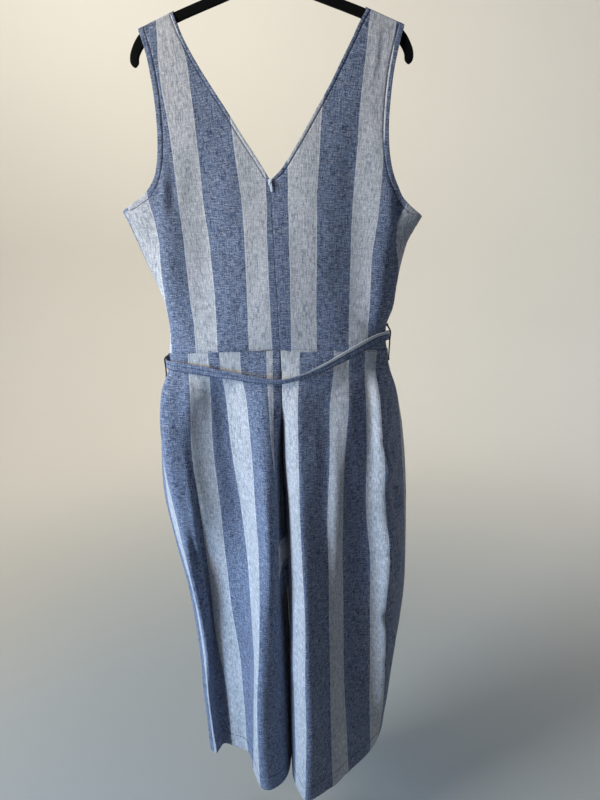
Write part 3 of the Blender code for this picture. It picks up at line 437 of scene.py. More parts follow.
def curve_through(points, count):
    """Smooth run through the points, with count steps between two of them."""
    points = [np.asarray(p, float) for p in points]
    padded = [2 * points[0] - points[1]] + points + [2 * points[-1] - points[-2]]
    run = [bend(*padded[i:i + 4], count)[:-1] for i in range(len(points) - 1)]
    return np.vstack(run + [points[-1][None]])


def lengths(points):
    """Distance along a run of points, from its first."""
    steps = np.linalg.norm(np.diff(points, axis=0), axis=1)
    return np.concatenate([[0.0], np.cumsum(steps)])


def row_runs(points):
    """Distance along every row of a grid of points, from its first column."""
    steps = np.linalg.norm(np.diff(points, axis=1), axis=2)
    return np.concatenate([np.zeros((len(points), 1)), np.cumsum(steps, 1)], 1)


def at_lengths(points, where):
    """Points of a run at distances along it."""
    run = lengths(points)
    return np.stack([np.interp(where, run, points[:, k]) for k in range(points.shape[1])], 1)


def unit(v):
    return v / np.maximum(np.linalg.norm(v, axis=-1, keepdims=True), 1e-9)


def ease(x, low, high):
    """Smooth step from 0 at low to 1 at high."""
    t = np.clip((np.asarray(x, float) - low) / (high - low), 0.0, 1.0)
    return t * t * (3 - 2 * t)


def mottle(u, v, seed):
    """Smooth noise from -1 to 1 with cells of size 1."""
    table = np.random.default_rng(seed).uniform(-1.0, 1.0, (128, 128))
    iu, iv = np.floor(u).astype(int), np.floor(v).astype(int)
    fu, fv = u - iu, v - iv
    fu, fv = fu * fu * (3 - 2 * fu), fv * fv * (3 - 2 * fv)
    low = table[iu % 128, iv % 128] * (1 - fu) + table[(iu + 1) % 128, iv % 128] * fu
    high = (table[iu % 128, (iv + 1) % 128] * (1 - fu)
            + table[(iu + 1) % 128, (iv + 1) % 128] * fu)
    return low * (1 - fv) + high * fv


def waist_z(x):
    """Height of the waist seam at x."""
    x = np.asarray(x, float)
    side = np.where(x < CB_WAIST_X, LEFT_WAIST_X[0], RIGHT_WAIST_X[0])
    drop = np.where(x < CB_WAIST_X, WAIST_DROP_LEFT, WAIST_DROP_RIGHT)
    share = np.minimum(1.0, np.abs(x - CB_WAIST_X) / np.abs(side - CB_WAIST_X))
    return WAIST_Z - drop * share ** 2


def tube_depth(x, z, back, wide=1.0):
    """Depth y of the bodice wall; wide scales the tube's virtual half width."""
    x, z = np.asarray(x, float), np.asarray(z, float)
    z = np.broadcast_to(z, x.shape)
    side_x = np.where(x < 0, column(TUBE, z, 1), column(TUBE, z, 2))
    side_y = column(TUBE, z, 3)
    full = column(TUBE, z, 4 if back else 5)
    share = np.minimum(1.0, np.abs(x) / np.abs(side_x * wide))
    return side_y + (full - side_y) * np.sqrt(np.maximum(0.0, 1.0 - share ** 2.6))


def middle_x(z):
    """Place of the centre back seam at a height."""
    share = (V_POINT_Z - np.asarray(z, float)) / (V_POINT_Z - WAIST_Z)
    return CB_TOP_X + (CB_WAIST_X - CB_TOP_X) * np.maximum(0.0, share)


def shoulder_z(x):
    """Top of the shoulders, along the hanger."""
    return SHOULDER_Z - SHOULDER_SLOPE * (np.abs(x) - SHOULDER_X)


# ------------------------------------------------------------------------ materials
class Finish:
    """A material whose nodes are added one call each."""

    def __init__(self, name, rough=0.8, metal=0.0, **constants):
        self.made = bpy.data.materials.new(name)
        self.made.use_nodes = True
        self.tree = self.made.node_tree
        self.shader = self.tree.nodes["Principled BSDF"]
        self.shader.inputs["Roughness"].default_value = rough
        self.shader.inputs["Metallic"].default_value = metal
        for key, value in constants.items():
            self.shader.inputs[key.replace("_", " ")].default_value = value

    def put(self, socket, value):
        if hasattr(value, "is_output"):
            self.tree.links.new(value, socket)
        else:
            socket.default_value = value

    def node(self, kind, inputs=(), **settings):
        made = self.tree.nodes.new(kind)
        for key, value in settings.items():
            setattr(made, key, value)
        for key, value in dict(inputs).items():
            self.put(made.inputs[key], value)
        return made

    def math(self, operation, a, b=0.0, c=0.0, clamp=False):
        made = self.node("ShaderNodeMath", operation=operation, use_clamp=clamp)
        for socket, value in zip(made.inputs, (a, b, c)):
            self.put(socket, value)
        return made.outputs[0]

    def times(self, a, b):
        """The product of a and b."""
        return self.math("MULTIPLY", a, b)

    def rest(self, value):
        """What is left of 1."""
        return self.math("SUBTRACT", 1.0, value)

    def swing(self, noise, gain, start, clamp=False):
        """A noise's swing about its middle, times gain, on top of start."""
        return self.math("MULTIPLY_ADD", self.math("SUBTRACT", noise, 0.5), gain, start, clamp)

    def place(self):
        """The object's own coordinates, in metres."""
        return self.node("ShaderNodeTexCoord").outputs["Object"]

    def step(self, value, low, high):
        made = self.node("ShaderNodeMapRange", {"Value": value, "From Min": low,
                                                "From Max": high},
                         interpolation_type="SMOOTHSTEP")
        return made.outputs["Result"]

    def noise(self, vector, scale, detail=2.0, rough=0.5):
        made = self.node("ShaderNodeTexNoise", {"Vector": vector, "Scale": scale,
                                                "Detail": detail, "Roughness": rough})
        return made.outputs[0]

    def mix(self, factor, a, b, blend="MIX"):
        made = self.node("ShaderNodeMix", data_type="RGBA", blend_type=blend)
        for key, value in ((0, factor), (6, a), (7, b)):
            self.put(made.inputs[key], value)
        return made.outputs[2]

    def colour(self, value):
        self.put(self.shader.inputs["Base Color"], value)

    def bump(self, height, strength, distance):
        made = self.node("ShaderNodeBump", {"Height": height, "Strength": strength,
                                            "Distance": distance})
        self.put(self.shader.inputs["Normal"], made.outputs[0])

    def fabric(self):
        """s and t in millimetres."""
        uv = self.node("ShaderNodeUVMap", uv_map="cloth")
        big = self.node("ShaderNodeVectorMath", {0: uv.outputs[0], 1: (1000.0,) * 3},
                        operation="MULTIPLY")
        parts = self.node("ShaderNodeSeparateXYZ", {0: big.outputs[0]})
        return parts.outputs[0], parts.outputs[1]

    def stretched(self, s, t, across, long):
        """Vector whose noise cells are across by long millimetres."""
        return self.node("ShaderNodeCombineXYZ", {
            0: self.math("DIVIDE", s, across), 1: self.math("DIVIDE", t, long)}).outputs[0]


PALE_COLOUR = (0.43, 0.452, 0.50, 1.0)
PALE_LILAC = (0.445, 0.437, 0.490, 1.0)
PALE_YARN = (0.175, 0.20, 0.265, 1.0)
PALE_BRIGHT = (0.71, 0.735, 0.76, 1.0)
BLUE_COLOUR = (0.098, 0.143, 0.258, 1.0)
BLUE_YARN = (0.024, 0.041, 0.100, 1.0)
BLUE_BRIGHT = (0.36, 0.405, 0.51, 1.0)

# Noises of the weave: name | cell across and along the stripes | detail, roughness
WEAVE = (
    ("warp", 1.3, 17.0, 3.0, 0.6), ("warp_wide", 2.4, 42.0, 2.0, 0.5),
    ("weft", 8.5, 1.3, 3.0, 0.65), ("weft_wide", 17.0, 2.6, 2.0, 0.5),
    ("upright", 1.5, 11.0, 3.0, 0.6), ("fleck", 1.2, 1.4, 2.0, 0.7),
    ("patch", 8.0, 10.0, 3.0, 0.6), ("cloud", 55.0, 80.0, 2.0, 0.5),
)
THREAD_PITCH = 0.62   # of the cloth's threads
TAPE_RIB = 0.9        # pitch of the tape's ribs


def stripes(f, s, t, blue, noises, dark, light):
    """Pale stripes with hairlines at their edges, laid over the blue cloth."""
    wander = f.noise(f.stretched(s, t, 200.0, 3.0), 1.0)
    m = f.math("FLOORED_MODULO", f.math("ADD", s, f.math("MULTIPLY_ADD", wander, 0.7, -0.35)),
               PERIOD)
    fall = f.rest(f.step(m, PALE - 0.7, PALE))
    pale = f.times(f.step(m, 0.0, 0.7), fall)
    from_edge = f.math("MINIMUM", m, f.math("SUBTRACT", PALE, m))
    hair = f.times(f.step(from_edge, 0.2, 0.8), f.rest(f.step(from_edge, 1.3, 2.2)))
    streak = f.swing(noises["upright"], 3.0, light, clamp=True)
    grey = f.mix(f.times(f.step(noises["cloud"], 0.42, 0.60), 0.7), PALE_COLOUR, PALE_LILAC)
    grey = f.mix(f.times(dark, 0.74), grey, PALE_YARN)
    grey = f.mix(f.times(streak, 0.80), grey, PALE_BRIGHT)
    grey = f.mix(f.times(hair, 0.45), grey, PALE_BRIGHT)
    return f.mix(pale, blue, grey)


def belt_lines(f, s, t, blue):
    """The belt's pale top edge on its right half (the fold's paler edge, with a painted highlight
    on it), its stitched line, and a painted shadow along its lower edge.
    """
    from_top = f.math("SUBTRACT", s, BELT_SHOWN)
    # pale band at the top edge, only on the right half: the fold's paler edge plus a painted
    # highlight
    edge = f.times(f.rest(f.step(from_top, 4.6, 6.2)), f.step(from_top, -1.5, 0.0))
    edge = f.times(edge, f.step(t, 430.0, 540.0))
    base = f.mix(f.times(edge, 0.75), blue, PALE_BRIGHT)
    line = f.rest(f.step(f.math("ABSOLUTE", f.math("SUBTRACT", from_top, 7.4)), 0.3, 1.1))
    base = f.mix(f.times(line, 0.7), base, BLUE_YARN)
    # painted shadow: a dark band along the lower edge, where the belt stands off the cloth
    painted_under_shadow = f.step(from_top, BELT_SHOWN - 2.8, BELT_SHOWN - 0.8)
    return f.mix(f.times(painted_under_shadow, 0.6), base, BLUE_YARN)


def chambray(name, striped=True):
    """Plain-weave linen mix: pale and blue warp stripes, a slubby pale weft."""
    f = Finish(name, rough=0.88, Sheen_Weight=0.12, Sheen_Roughness=0.6,
               Specular_IOR_Level=0.2)
    s, t = f.fabric()
    noises = {}
    for key, across, long, detail, rough in WEAVE:
        noises[key] = f.noise(f.stretched(s, t, across, long), 1.0, detail, rough)
    dark = f.swing(noises["warp"], 4.6, 0.42)
    dark = f.swing(noises["warp_wide"], 3.4, dark)
    dark = f.swing(noises["patch"], 3.0, dark, clamp=True)
    light = f.swing(noises["weft"], 3.0, 0.20)
    light = f.swing(noises["weft_wide"], 1.6, light)
    light = f.swing(noises["upright"], 2.4, light)
    light = f.swing(noises["fleck"], 4.4, light, clamp=True)
    base = f.mix(light, f.mix(dark, BLUE_COLOUR, BLUE_YARN), BLUE_BRIGHT)
    if striped:
        base = stripes(f, s, t, base, noises, dark, light)
    else:
        base = belt_lines(f, s, t, base)
    tone = f.math("MULTIPLY_ADD", noises["cloud"], 0.34, 0.83)
    shade = f.node("ShaderNodeCombineXYZ", {0: tone, 1: tone, 2: tone}).outputs[0]
    f.colour(f.mix(1.0, base, shade, "MULTIPLY"))
    ripple = 2 * math.pi / THREAD_PITCH
    weave = f.times(f.math("SINE", f.times(s, ripple)), f.math("SINE", f.times(t, ripple)))
    slub = f.math("ADD", f.times(noises["weft"], 1.2), f.times(noises["warp"], 1.2))
    height = f.math("MULTIPLY_ADD", weave, 0.3, slub)
    f.bump(f.math("ADD", height, noises["fleck"]), 0.5, 0.0003)
    return f.made


def thread(name, colour):
    """Spun thread with a fine grain."""
    f = Finish(name, rough=0.8, Sheen_Weight=0.05)
    where = f.place()
    grain = f.noise(where, 2500.0, 2.0)
    f.colour(f.mix(grain, (*colour, 1.0), (*(min(1.0, c * 2.4) for c in colour), 1.0)))
    f.bump(grain, 0.4, 0.0001)
    return f.made


def velvet_black():
    """Matt black flock with a short nap."""
    f = Finish("hanger_flock", rough=0.95, Sheen_Weight=0.03, Sheen_Roughness=0.4,
               Specular_IOR_Level=0.1)
    where = f.place()
    nap = f.noise(where, 1400.0, 3.0, 0.6)
    patch = f.noise(where, 26.0, 2.0)
    f.colour(f.mix(patch, (0.002, 0.002, 0.0022, 1.0), (0.005, 0.005, 0.0055, 1.0)))
    f.bump(nap, 0.5, 0.0003)
    return f.made


def metal(name, colour, rough, scale=900.0, bare=1.0):
    """Lightly scuffed metal."""
    f = Finish(name, rough=rough, metal=bare)
    where = f.place()
    scuff = f.noise(where, scale, 4.0, 0.7)
    f.colour(f.mix(scuff, (*(0.82 * c for c in colour), 1.0), (*colour, 1.0)))
    f.put(f.shader.inputs["Roughness"], f.math("MULTIPLY_ADD", scuff, 0.22, rough - 0.1))
    f.bump(scuff, 0.12, 0.0001)
    return f.made


def tape_weave():
    """The zip tape's ribbed weave."""
    f = Finish("zip_tape_weave", rough=0.75, Sheen_Weight=0.2)
    s, t = f.fabric()
    rib = f.math("SINE", f.times(t, 2 * math.pi / TAPE_RIB))
    grain = f.noise(f.stretched(s, t, 0.5, 0.5), 1.0, 2.0)
    f.colour(f.mix(grain, (0.02, 0.03, 0.07, 1.0), (0.06, 0.08, 0.15, 1.0)))
    f.bump(f.math("ADD", rib, grain), 0.5, 0.0002)
    return f.made


CLOTH = chambray("chambray_striped")
BELT_CLOTH = chambray("chambray_belt", striped=False)
NAVY = thread("navy_thread", (0.004, 0.005, 0.014))
STITCH = thread("stitch_thread", (0.012, 0.018, 0.05))
FLOCK = velvet_black()
STEEL = metal("hook_steel", (0.62, 0.62, 0.64), 0.24)
SILVER = metal("zip_silver", (0.86, 0.93, 1.0), 0.50, 2200.0, 0.25)
TAPE = tape_weave()


# --------------------------------------------------------------------- cloth panels
EDGE_MARKS = (0.0, 0.35, 0.8, 1.5, 2.6, 4.0, 4.8, 5.4, 6.0, 6.8, 7.8, 8.5, 9.2, 10.2, 11.6)
BAND = 5.4            # topstitching's distance from the neck's edge
ARM_BAND = 8.5        # and from an armhole's
# Width of the blue strip along the side seams under the arms, z | left | right, and its s
SIDE_STRIP = ((-400.0, 9.5, 5.0), (-470.0, 8.0, 3.5), (-560.0, 5.5, 2.0))
SIDE_STRIP_S = 238.0
WAIST_LINE = -1.0     # how much deeper the waist seam's groove is than another's
CENTRE_SEAM = 0.5     # the bodice's centre seam is flatter than that, as a share
HEM_BAND = 33.0       # hem stitching's distance from the edge
LEG_CELL = 4.6        # width of a leg's cells
BODICE_CELL = 3.6     # and of the bodice's
LEG_EDGE_MARKS = 7    # how many edge marks a leg's rows use
BEND_STEPS = 20       # steps of a leg's section between two fold lines
ROW_POINTS = 240      # points of a bodice row before it is cut to cells
STRAP_STAND = 1.5     # how far the strap stands off the hanger
HEM_RISE_FROM = -1130.0             # below this the right hem's rise sets in
WAIST_BLEND = 38.0                  # the waist seam's slope dies out over this
LEG_FRONT_S = (45.0, 58.0)          # fabric s at the front panels' side seams
RIGHT_SIDE_RATE = 0.65              # the right side's last stripe is narrow and all blue
CLEFT_PATCH = (-985.0, -1052.0)     # height of the pale patch seen between the legs
CLEFT_FOLD = 12.0                   # depth of the fold at that patch


class Panel:
    """A grid of points with fabric coordinates.  Rows run up or down the garment."""

    def __init__(self, points, s_start, s_end, face):
        self.points = points
        self.s_start = s_start      # s at the first side of each cell
        self.s_end = s_end          # s at its second side
        self.face = face            # -1 where outward is -Y
        self.base = points.copy()

    def s(self):
        """Fabric s at every point."""
        return np.concatenate([self.s_start, self.s_end[:, -1:]], 1)

    def t(self):
        """Fabric t: mean distance down the columns."""
        steps = np.linalg.norm(np.diff(self.base, axis=0), axis=2)
        run = np.concatenate([np.zeros((1, steps.shape[1])), np.cumsum(steps, 0)], 0)
        return run.mean(1, keepdims=True) * np.ones_like(run)

    def normals(self):
        across = np.gradient(self.points, axis=1)
        down = np.gradient(self.points, axis=0)
        n = unit(np.cross(across, down))
        if n[..., 1].mean() * self.face < 0:
            n = -n
        return n

    def from_edges(self):
        """Distances to the first and last column, square to those edges."""
        p = self.base
        run = row_runs(p)
        found = []
        for k, away in ((0, run), (-1, run[:, -1:] - run)):
            edge = unit(np.gradient(p[:, k], axis=0))
            row = unit(p[:, 4 if k == 0 else -5] - p[:, k])
            lean = np.linalg.norm(np.cross(edge, row), axis=1)
            lean = np.convolve(np.pad(lean, 3, mode="edge"), np.ones(7) / 7, mode="valid")
            found.append(away * np.clip(lean, 0.35, 1.0)[:, None])
        return found

    def push(self, amount):
        """Move the points outward."""
        self.points = self.points + self.normals() * amount[..., None]

    def build(self):
        """Points, faces and UVs in metres."""
        p = self.points * MM
        rows, cols = p.shape[:2]
        index = np.arange(rows * cols).reshape(rows, cols)
        t = self.t() * MM
        corners = [(index[:-1, :-1], self.s_start[:-1], t[:-1, :-1]),
                   (index[:-1, 1:], self.s_end[:-1], t[:-1, 1:]),
                   (index[1:, 1:], self.s_end[1:], t[1:, 1:]),
                   (index[1:, :-1], self.s_start[1:], t[1:, :-1])]
        across, down = p[:, 1:] - p[:, :-1], p[1:] - p[:-1]
        facing = np.cross(across[:-1], down[:, :-1])[..., 1].sum()
        if facing * self.face < 0:
            corners.reverse()
        quads = np.stack([c[0] for c in corners], -1).reshape(-1, 4)
        uv = np.stack([np.stack([c[1] * MM, c[2]], -1) for c in corners], 2).reshape(-1, 2)
        return p.reshape(-1, 3), quads, uv


def mesh_object(name, verts, faces, uv=None, finish=None):
    """A smooth object from vertices in metres."""
    mesh = bpy.data.meshes.new(name)
    mesh.from_pydata(np.asarray(verts).tolist(), [], [list(f) for f in faces])
    if uv is not None:
        layer = mesh.uv_layers.new(name="cloth")
        layer.data.foreach_set("uv", np.asarray(uv, np.float32).ravel())
    mesh.polygons.foreach_set("use_smooth", [True] * len(mesh.polygons))
    made = bpy.data.objects.new(name, mesh)
    bpy.context.scene.collection.objects.link(made)
    if finish:
        mesh.materials.append(finish)
    return made


def rework(made, change):
    """Change an object's mesh with bmesh operations."""
    work = bmesh.new()
    work.from_mesh(made.data)
    change(work)
    work.to_mesh(made.data)
    work.free()


def ring_quads(count, n, first=0):
    """Faces between count rings of n points each."""
    faces = []
    for low in range(first, first + (count - 1) * n, n):
        for i in range(n):
            j = (i + 1) % n
            faces.append((low + i, low + j, low + n + j, low + n + i))
    return faces


def cloth_object(name, panels, finish):
    """One piece of cloth from its grids, with its thickness."""
    verts, quads, uvs, count = [], [], [], 0
    for panel in panels:
        v, q, uv = panel.build()
        verts.append(v)
        quads.append(q + count)
        uvs.append(uv)
        count += len(v)
    made = mesh_object(name, np.vstack(verts), np.vstack(quads), np.vstack(uvs), finish)
    if len(panels) > 1:
        rework(made, lambda work: bmesh.ops.remove_doubles(work, verts=work.verts,
                                                           dist=0.00002))
    wall = made.modifiers.new("wall", "SOLIDIFY")
    wall.thickness = SHELL * MM
    wall.offset = -1.0
    return made


def edge_form(distance, along_edge, free, seed, band_at=BAND):
    """Height of the cloth near an edge: a groove at a seam, a sewn band at a free edge."""
    pucker = mottle(along_edge / 7.0, distance / 30.0, seed)
    fine = mottle(along_edge / 3.4, distance / 30.0, seed + 1)
    seam = -0.45 * np.exp(-(distance / 1.1) ** 2)
    seam += (0.30 * pucker + 0.12 * fine) * np.exp(-distance / 8.0)
    band = 0.45 * (1.0 - ease(distance, band_at - 0.8, band_at + 0.6))
    band += -1.15 * np.exp(-((distance - band_at) / 1.1) ** 2)
    band += -0.30 * np.exp(-(distance / 0.6) ** 2)
    band += (0.22 * pucker + 0.12 * fine) * np.exp(-np.abs(distance - 4.0) / 9.0)
    return np.where(free, band, seam)


def line_form(distance, along_edge, seed):
    """Height near a line of stitches in the middle of the cloth."""
    pucker = mottle(along_edge / 8.0, distance / 20.0, seed)
    return (-0.45 * np.exp(-(distance / 0.9) ** 2)
            + 0.35 * pucker * np.exp(-np.abs(distance) / 7.0))


def crease_form(panel, s, z):
    """Soft troughs and ridges along short bowed lines."""
    total = np.zeros(s.shape)
    for k, (s0, z0, s1, z1, bow, wide, deep) in enumerate(CREASES[panel]):
        a, b = np.array([s0, z0], float), np.array([s1, z1], float)
        side = np.array([-(b - a)[1], (b - a)[0]]) / np.linalg.norm(b - a)
        run = curve_through([a, (a + b) / 2 + side * bow, b], 6)
        best = np.full(s.shape, 1e9)
        share = np.zeros(s.shape)
        marks = lengths(run) / lengths(run)[-1]
        for i in range(len(run) - 1):
            d = run[i + 1] - run[i]
            u = np.clip(((s - run[i][0]) * d[0] + (z - run[i][1]) * d[1]) / (d @ d), 0, 1)
            gap = np.hypot(s - run[i][0] - u * d[0], z - run[i][1] - u * d[1])
            near = gap < best
            best = np.where(near, gap, best)
            share = np.where(near, marks[i] + (marks[i + 1] - marks[i]) * u, share)
        fade = ease(share, 0.0, 0.35) * (1.0 - ease(share, 0.6, 1.0))
        q = best / (wide * (0.75 + 0.5 * fade))
        wobble = 1.0 + 0.3 * mottle(share * 5.0, np.full(s.shape, 0.5), 40 + k)
        total += deep * fade * wobble * (1.0 - 0.55 * q ** 2) * np.exp(-0.8 * q ** 2)
    return total


def loose_form(s, z, seed):
    """Slight waviness of hanging cloth."""
    return (0.55 * mottle(s / 38.0, z / 120.0, seed) + 0.25 * mottle(s / 17.0, z / 34.0, seed + 1)
            + 0.10 * mottle(s / 7.0, z / 9.0, seed + 2))


def stations(total, cells):
    """Distances across a row: fine near both edges, even between them."""
    marks = np.array(EDGE_MARKS)
    middle = np.linspace(marks[-1], total - marks[-1], cells + 1)[1:-1]
    return np.concatenate([marks, middle, (total - marks)[::-1]])


# -------------------------------------------------------------------- bodice panels
LINE_STEPS = 8        # rows from one line to the next


def bodice_lines():
    """Line numbers of the rows from the waist up, closer together at the waist seam."""
    near = np.array([0.0, 0.010, 0.024, 0.045, 0.08, 0.13])
    even = np.arange(2, len(LINES) * LINE_STEPS + 1) / LINE_STEPS
    return np.concatenate([near, even]) - 1.0


def split_curve(values, f, corner):
    """Smooth values over the lines with a sharp corner at one of them."""
    table = [(k - 1.0, v) for k, v in enumerate(values)]
    low = along([row for row in table if row[0] <= corner], f)[:, 0]
    high = along([row for row in table if row[0] >= corner], f)[:, 0]
    return np.where(f <= corner, low, high)


def bodice_rows(sign, back):
    """Dense rows of points of half the bodice, with the line number of each row."""
    f = bodice_lines()
    side_x = LEFT_WAIST_X[0] if sign < 0 else RIGHT_WAIST_X[0]
    pick, one_of = (1, 1) if sign < 0 else (3, 2)
    outer_x = [side_x] + [row[pick] for row in LINES]
    outer_z = [float(waist_z(side_x))] + [row[pick + 1] for row in LINES]
    z_in = split_curve([WAIST_Z] + [row[0] for row in LINES], f, V_LINE)
    x_out = split_curve(outer_x, f, UNDERARM)
    z_out = split_curve(outer_z, f, UNDERARM)
    seam = f <= V_LINE + 1e-6
    neck_x = column(NECK, z_in, one_of)
    if back:
        x_in = np.where(seam, middle_x(z_in) + sign * SEAM, neck_x)
    else:
        rise = np.clip((z_in - WAIST_Z) / (V_POINT_Z - WAIST_Z), 0, None)
        share = np.clip((z_in - V_POINT_Z) / (LINES[-1][0] - V_POINT_Z), 0, 1)
        neck_x = neck_x + sign * NECK_FRONT_SPREAD * np.sin(math.pi * share ** 0.8)
        z_seam = z_in - FRONT_V_DROP * rise ** 2
        z_neck = z_in - FRONT_V_DROP * (1.0 - share) ** 1.5
        z_in = np.where(seam, z_seam, z_neck)
        x_in = np.where(seam, middle_x(z_in), neck_x)
    under = np.minimum(f, UNDERARM)
    corner_x = split_curve(outer_x, under, UNDERARM)
    corner_z = split_curve(outer_z, under, UNDERARM)
    u = 1.0 - (1.0 - np.linspace(0.0, 1.0, ROW_POINTS)) ** 2.0
    x = x_in[:, None] + (x_out - x_in)[:, None] * u
    z = z_in[:, None] + (z_out - z_in)[:, None] * u
    z = z + (waist_z(x) + SEAM - z) * (1.0 - ease(f, -1.0, 0.0))[:, None]
    # close to the waist a row ends lower than its line, so the tube is taken there
    corner_z = np.where(f < 0.0, z[:, -1], corner_z)
    wide = corner_x / column(TUBE, corner_z, one_of)
    y = tube_depth(x, z, back, np.broadcast_to(wide[:, None], x.shape))
    y = y + (-SEAM if back else SEAM) * (f <= UNDERARM)[:, None]
    # the strap closes in on the hanger, then rolls over its rounded top
    face = -1.0 if back else 1.0
    corner = HANGER_ROUND + STRAP_STAND
    flat = HANGER_THICK / 2 - HANGER_ROUND
    close = ease(f, len(LINES) - 2.6, len(LINES) - 1.0)[:, None]
    y = y + (face * (flat + corner) - y) * close
    rows = list(np.stack([x, y, z], -1))
    top = rows[-1][:, 0]
    turns = [(flat + corner * math.cos(angle), corner * (1 - math.sin(angle)))
             for angle in np.radians(np.arange(0, 91, 15))]
    turns += [(flat * 0.6, 0.0), (0.5, 0.0), (SEAM, 0.0)]
    for deep, low in turns:
        rows.append(np.stack([top, np.full(len(top), face * deep), shoulder_z(top) - low], -1))
    extra = len(rows) - len(f)
    return np.array(rows), np.concatenate([f, np.full(extra, f[-1])])


def stripe_s(x, z, edges, marks):
    """Fabric s on the bodice's back from the places of the stripes' edges."""
    where = along(edges, z.ravel()).reshape(*z.shape, len(marks))
    order = np.argsort(where[0, 0])
    where = where[..., order]
    marks = np.array(marks)[order]
    first, last = where[..., 0], where[..., -1]
    s = marks[0] + (x - first) * np.sign(marks[1] - marks[0])
    for k in range(len(marks) - 1):
        a, b = where[..., k], where[..., k + 1]
        part = marks[k] + (marks[k + 1] - marks[k]) * (x - a) / (b - a)
        s = np.where((x >= a) & (x < b), part, s)
    return np.where(x >= last, marks[-1] + (x - last) * np.sign(marks[-1] - marks[-2]), s)


def back_stripes(grid, run, f, sign):
    """Fabric s of a back half; under the arm the last stripe runs on to the side seam."""
    x, z = grid[..., 0], grid[..., 2]
    edges, marks = (LEFT_EDGES, LEFT_EDGE_S) if sign < 0 else (RIGHT_EDGES, RIGHT_EDGE_S)
    one_of = 1 if sign < 0 else 2
    s = stripe_s(x, z, edges, marks)
    last = along(edges, z[:, -1])[:, 0 if sign < 0 else -1]
    side = column(SIDE_S, z[:, -1], one_of)
    strip = column(SIDE_STRIP, z[:, -1], one_of)
    for k in np.where(f <= UNDERARM)[0]:
        beyond = (x[k] - last[k]) * sign > 0
        if beyond.sum() > 1:
            cross = np.interp(last[k] * sign, x[k] * sign, run[k])
            share = (run[k][beyond] - cross) / max(run[k][-1] - cross, 1e-6)
            s[k][beyond] = LAST_EDGE + (side[k] - LAST_EDGE) * share
        if z[k, -1] > SIDE_STRIP[-1][0]:
            s[k][run[k][-1] - run[k] < strip[k]] = SIDE_STRIP_S
    return s


def bodice_panel(name, sign, back, seed):
    """Half of the bodice's back or front, with its seams, creases and waviness."""
    rows, f = bodice_rows(sign, back)
    mean = np.mean([lengths(row)[-1] for row in rows])
    cells = int((mean - 2 * EDGE_MARKS[-1]) / BODICE_CELL)
    grid = np.array([at_lengths(row, stations(lengths(row)[-1], cells)) for row in rows])
    x, z = grid[..., 0], grid[..., 2]
    run = row_runs(grid)
    s = back_stripes(grid, run, f, sign) if back else run * sign + (PALE + PERIOD) / 2
    panel = Panel(grid, s[:, :-1], s[:, 1:], -1 if back else 1)
    inner, outer = panel.from_edges()
    t = panel.t()
    armhole = (f > UNDERARM + 0.01)[:, None]
    neck = (f > V_LINE + 0.01)[:, None] & (inner < 60)
    amount = edge_form(outer, t, armhole & (outer < 40), seed, ARM_BAND)
    middle_seam = CENTRE_SEAM if back else 0.0
    amount += edge_form(inner, t, neck, seed + 3) * np.where(neck, 1.0, middle_seam)
    from_waist = np.abs(z - waist_z(x))
    amount += edge_form(from_waist, s, np.zeros(s.shape, bool), seed + 6)
    amount += WAIST_LINE * np.exp(-(from_waist / 0.9) ** 2)
    quiet = 1.0 - ease(f, len(LINES) - 3.0, len(LINES) - 1.5)[:, None]
    # seams hold the cloth, so creases die out there
    seamed = np.where(armhole, 1.0, ease(outer, 0.0, 15.0)) * ease(from_waist, 0.0, 26.0)
    amount += crease_form(name, x, z) * quiet * seamed
    amount += loose_form(s, z, seed + 9) * ease(np.minimum(inner, outer), 0.0, 12.0) * quiet
    panel.push(amount * np.where(f >= len(LINES) - 1.0, 0.2, 1.0)[:, None])
    panel.f = f
    panel.inner, panel.outer = inner, outer
    return panel


back_left = bodice_panel("bodice_back_left", -1, True, 10)
back_right = bodice_panel("bodice_back_right", 1, True, 30)
front_left = bodice_panel("bodice_front", -1, False, 50)
front_right = bodice_panel("bodice_front", 1, False, 70)
joined = front_left.f <= V_LINE + 1e-6
middle = (front_left.points[joined, 0] + front_right.points[joined, 0]) / 2
front_left.points[joined, 0] = middle
front_right.points[joined, 0] = middle


# ------------------------------------------------------------------- trouser panels
def leg_heights():
    """Heights of the rows: close together at the waist, the hem and its stitching."""
    near = WAIST_Z - SEAM - np.array([0.0, 0.35, 0.8, 1.5, 2.6, 4.2])
    stitch = HEM_Z + HEM_BAND
    around = stitch + np.array([3.0, 1.4, 0.7, 0.0, -0.7, -1.4, -3.0])
    last = HEM_Z + np.array([3.4, 1.6, 0.7, 0.0])
    upper = np.linspace(near[-1], around[0], int((near[-1] - around[0]) / LEG_CELL) + 1)[1:-1]
    lower = np.linspace(around[-1], last[0], int(30.0 / LEG_CELL))[1:-1]
    return np.concatenate([near, upper, around, lower, last])


def waist_row(xs, back):
    """Section of a leg panel at the waist seam."""
    xs = np.array(xs, float)
    y = tube_depth(xs, np.full(len(xs), WAIST_Z - 6.0), back)
    y[0] = column(TUBE, np.array([WAIST_Z - 10.0]), 3)[0] + (-SEAM if back else SEAM)
    return np.stack([xs, y], 1)


def back_table(rows, waist):
    """Sections of a back panel, one flat row for each height."""
    flat = []
    for k, (z, points) in enumerate(rows):
        row = np.array(points, float)
        if z < CROTCH_Z + CROTCH_REACH:
            meet = (LEFT_BACK[k][1][-1][0] + RIGHT_BACK[k][1][-1][0]) / 2
            row[-1, 0] = meet + math.copysign(LEG_GAP / 2, row[-1, 0] - meet)
        flat.append((z, *row.ravel()))
    return [(WAIST_Z, *waist_row(waist, True).ravel())] + flat


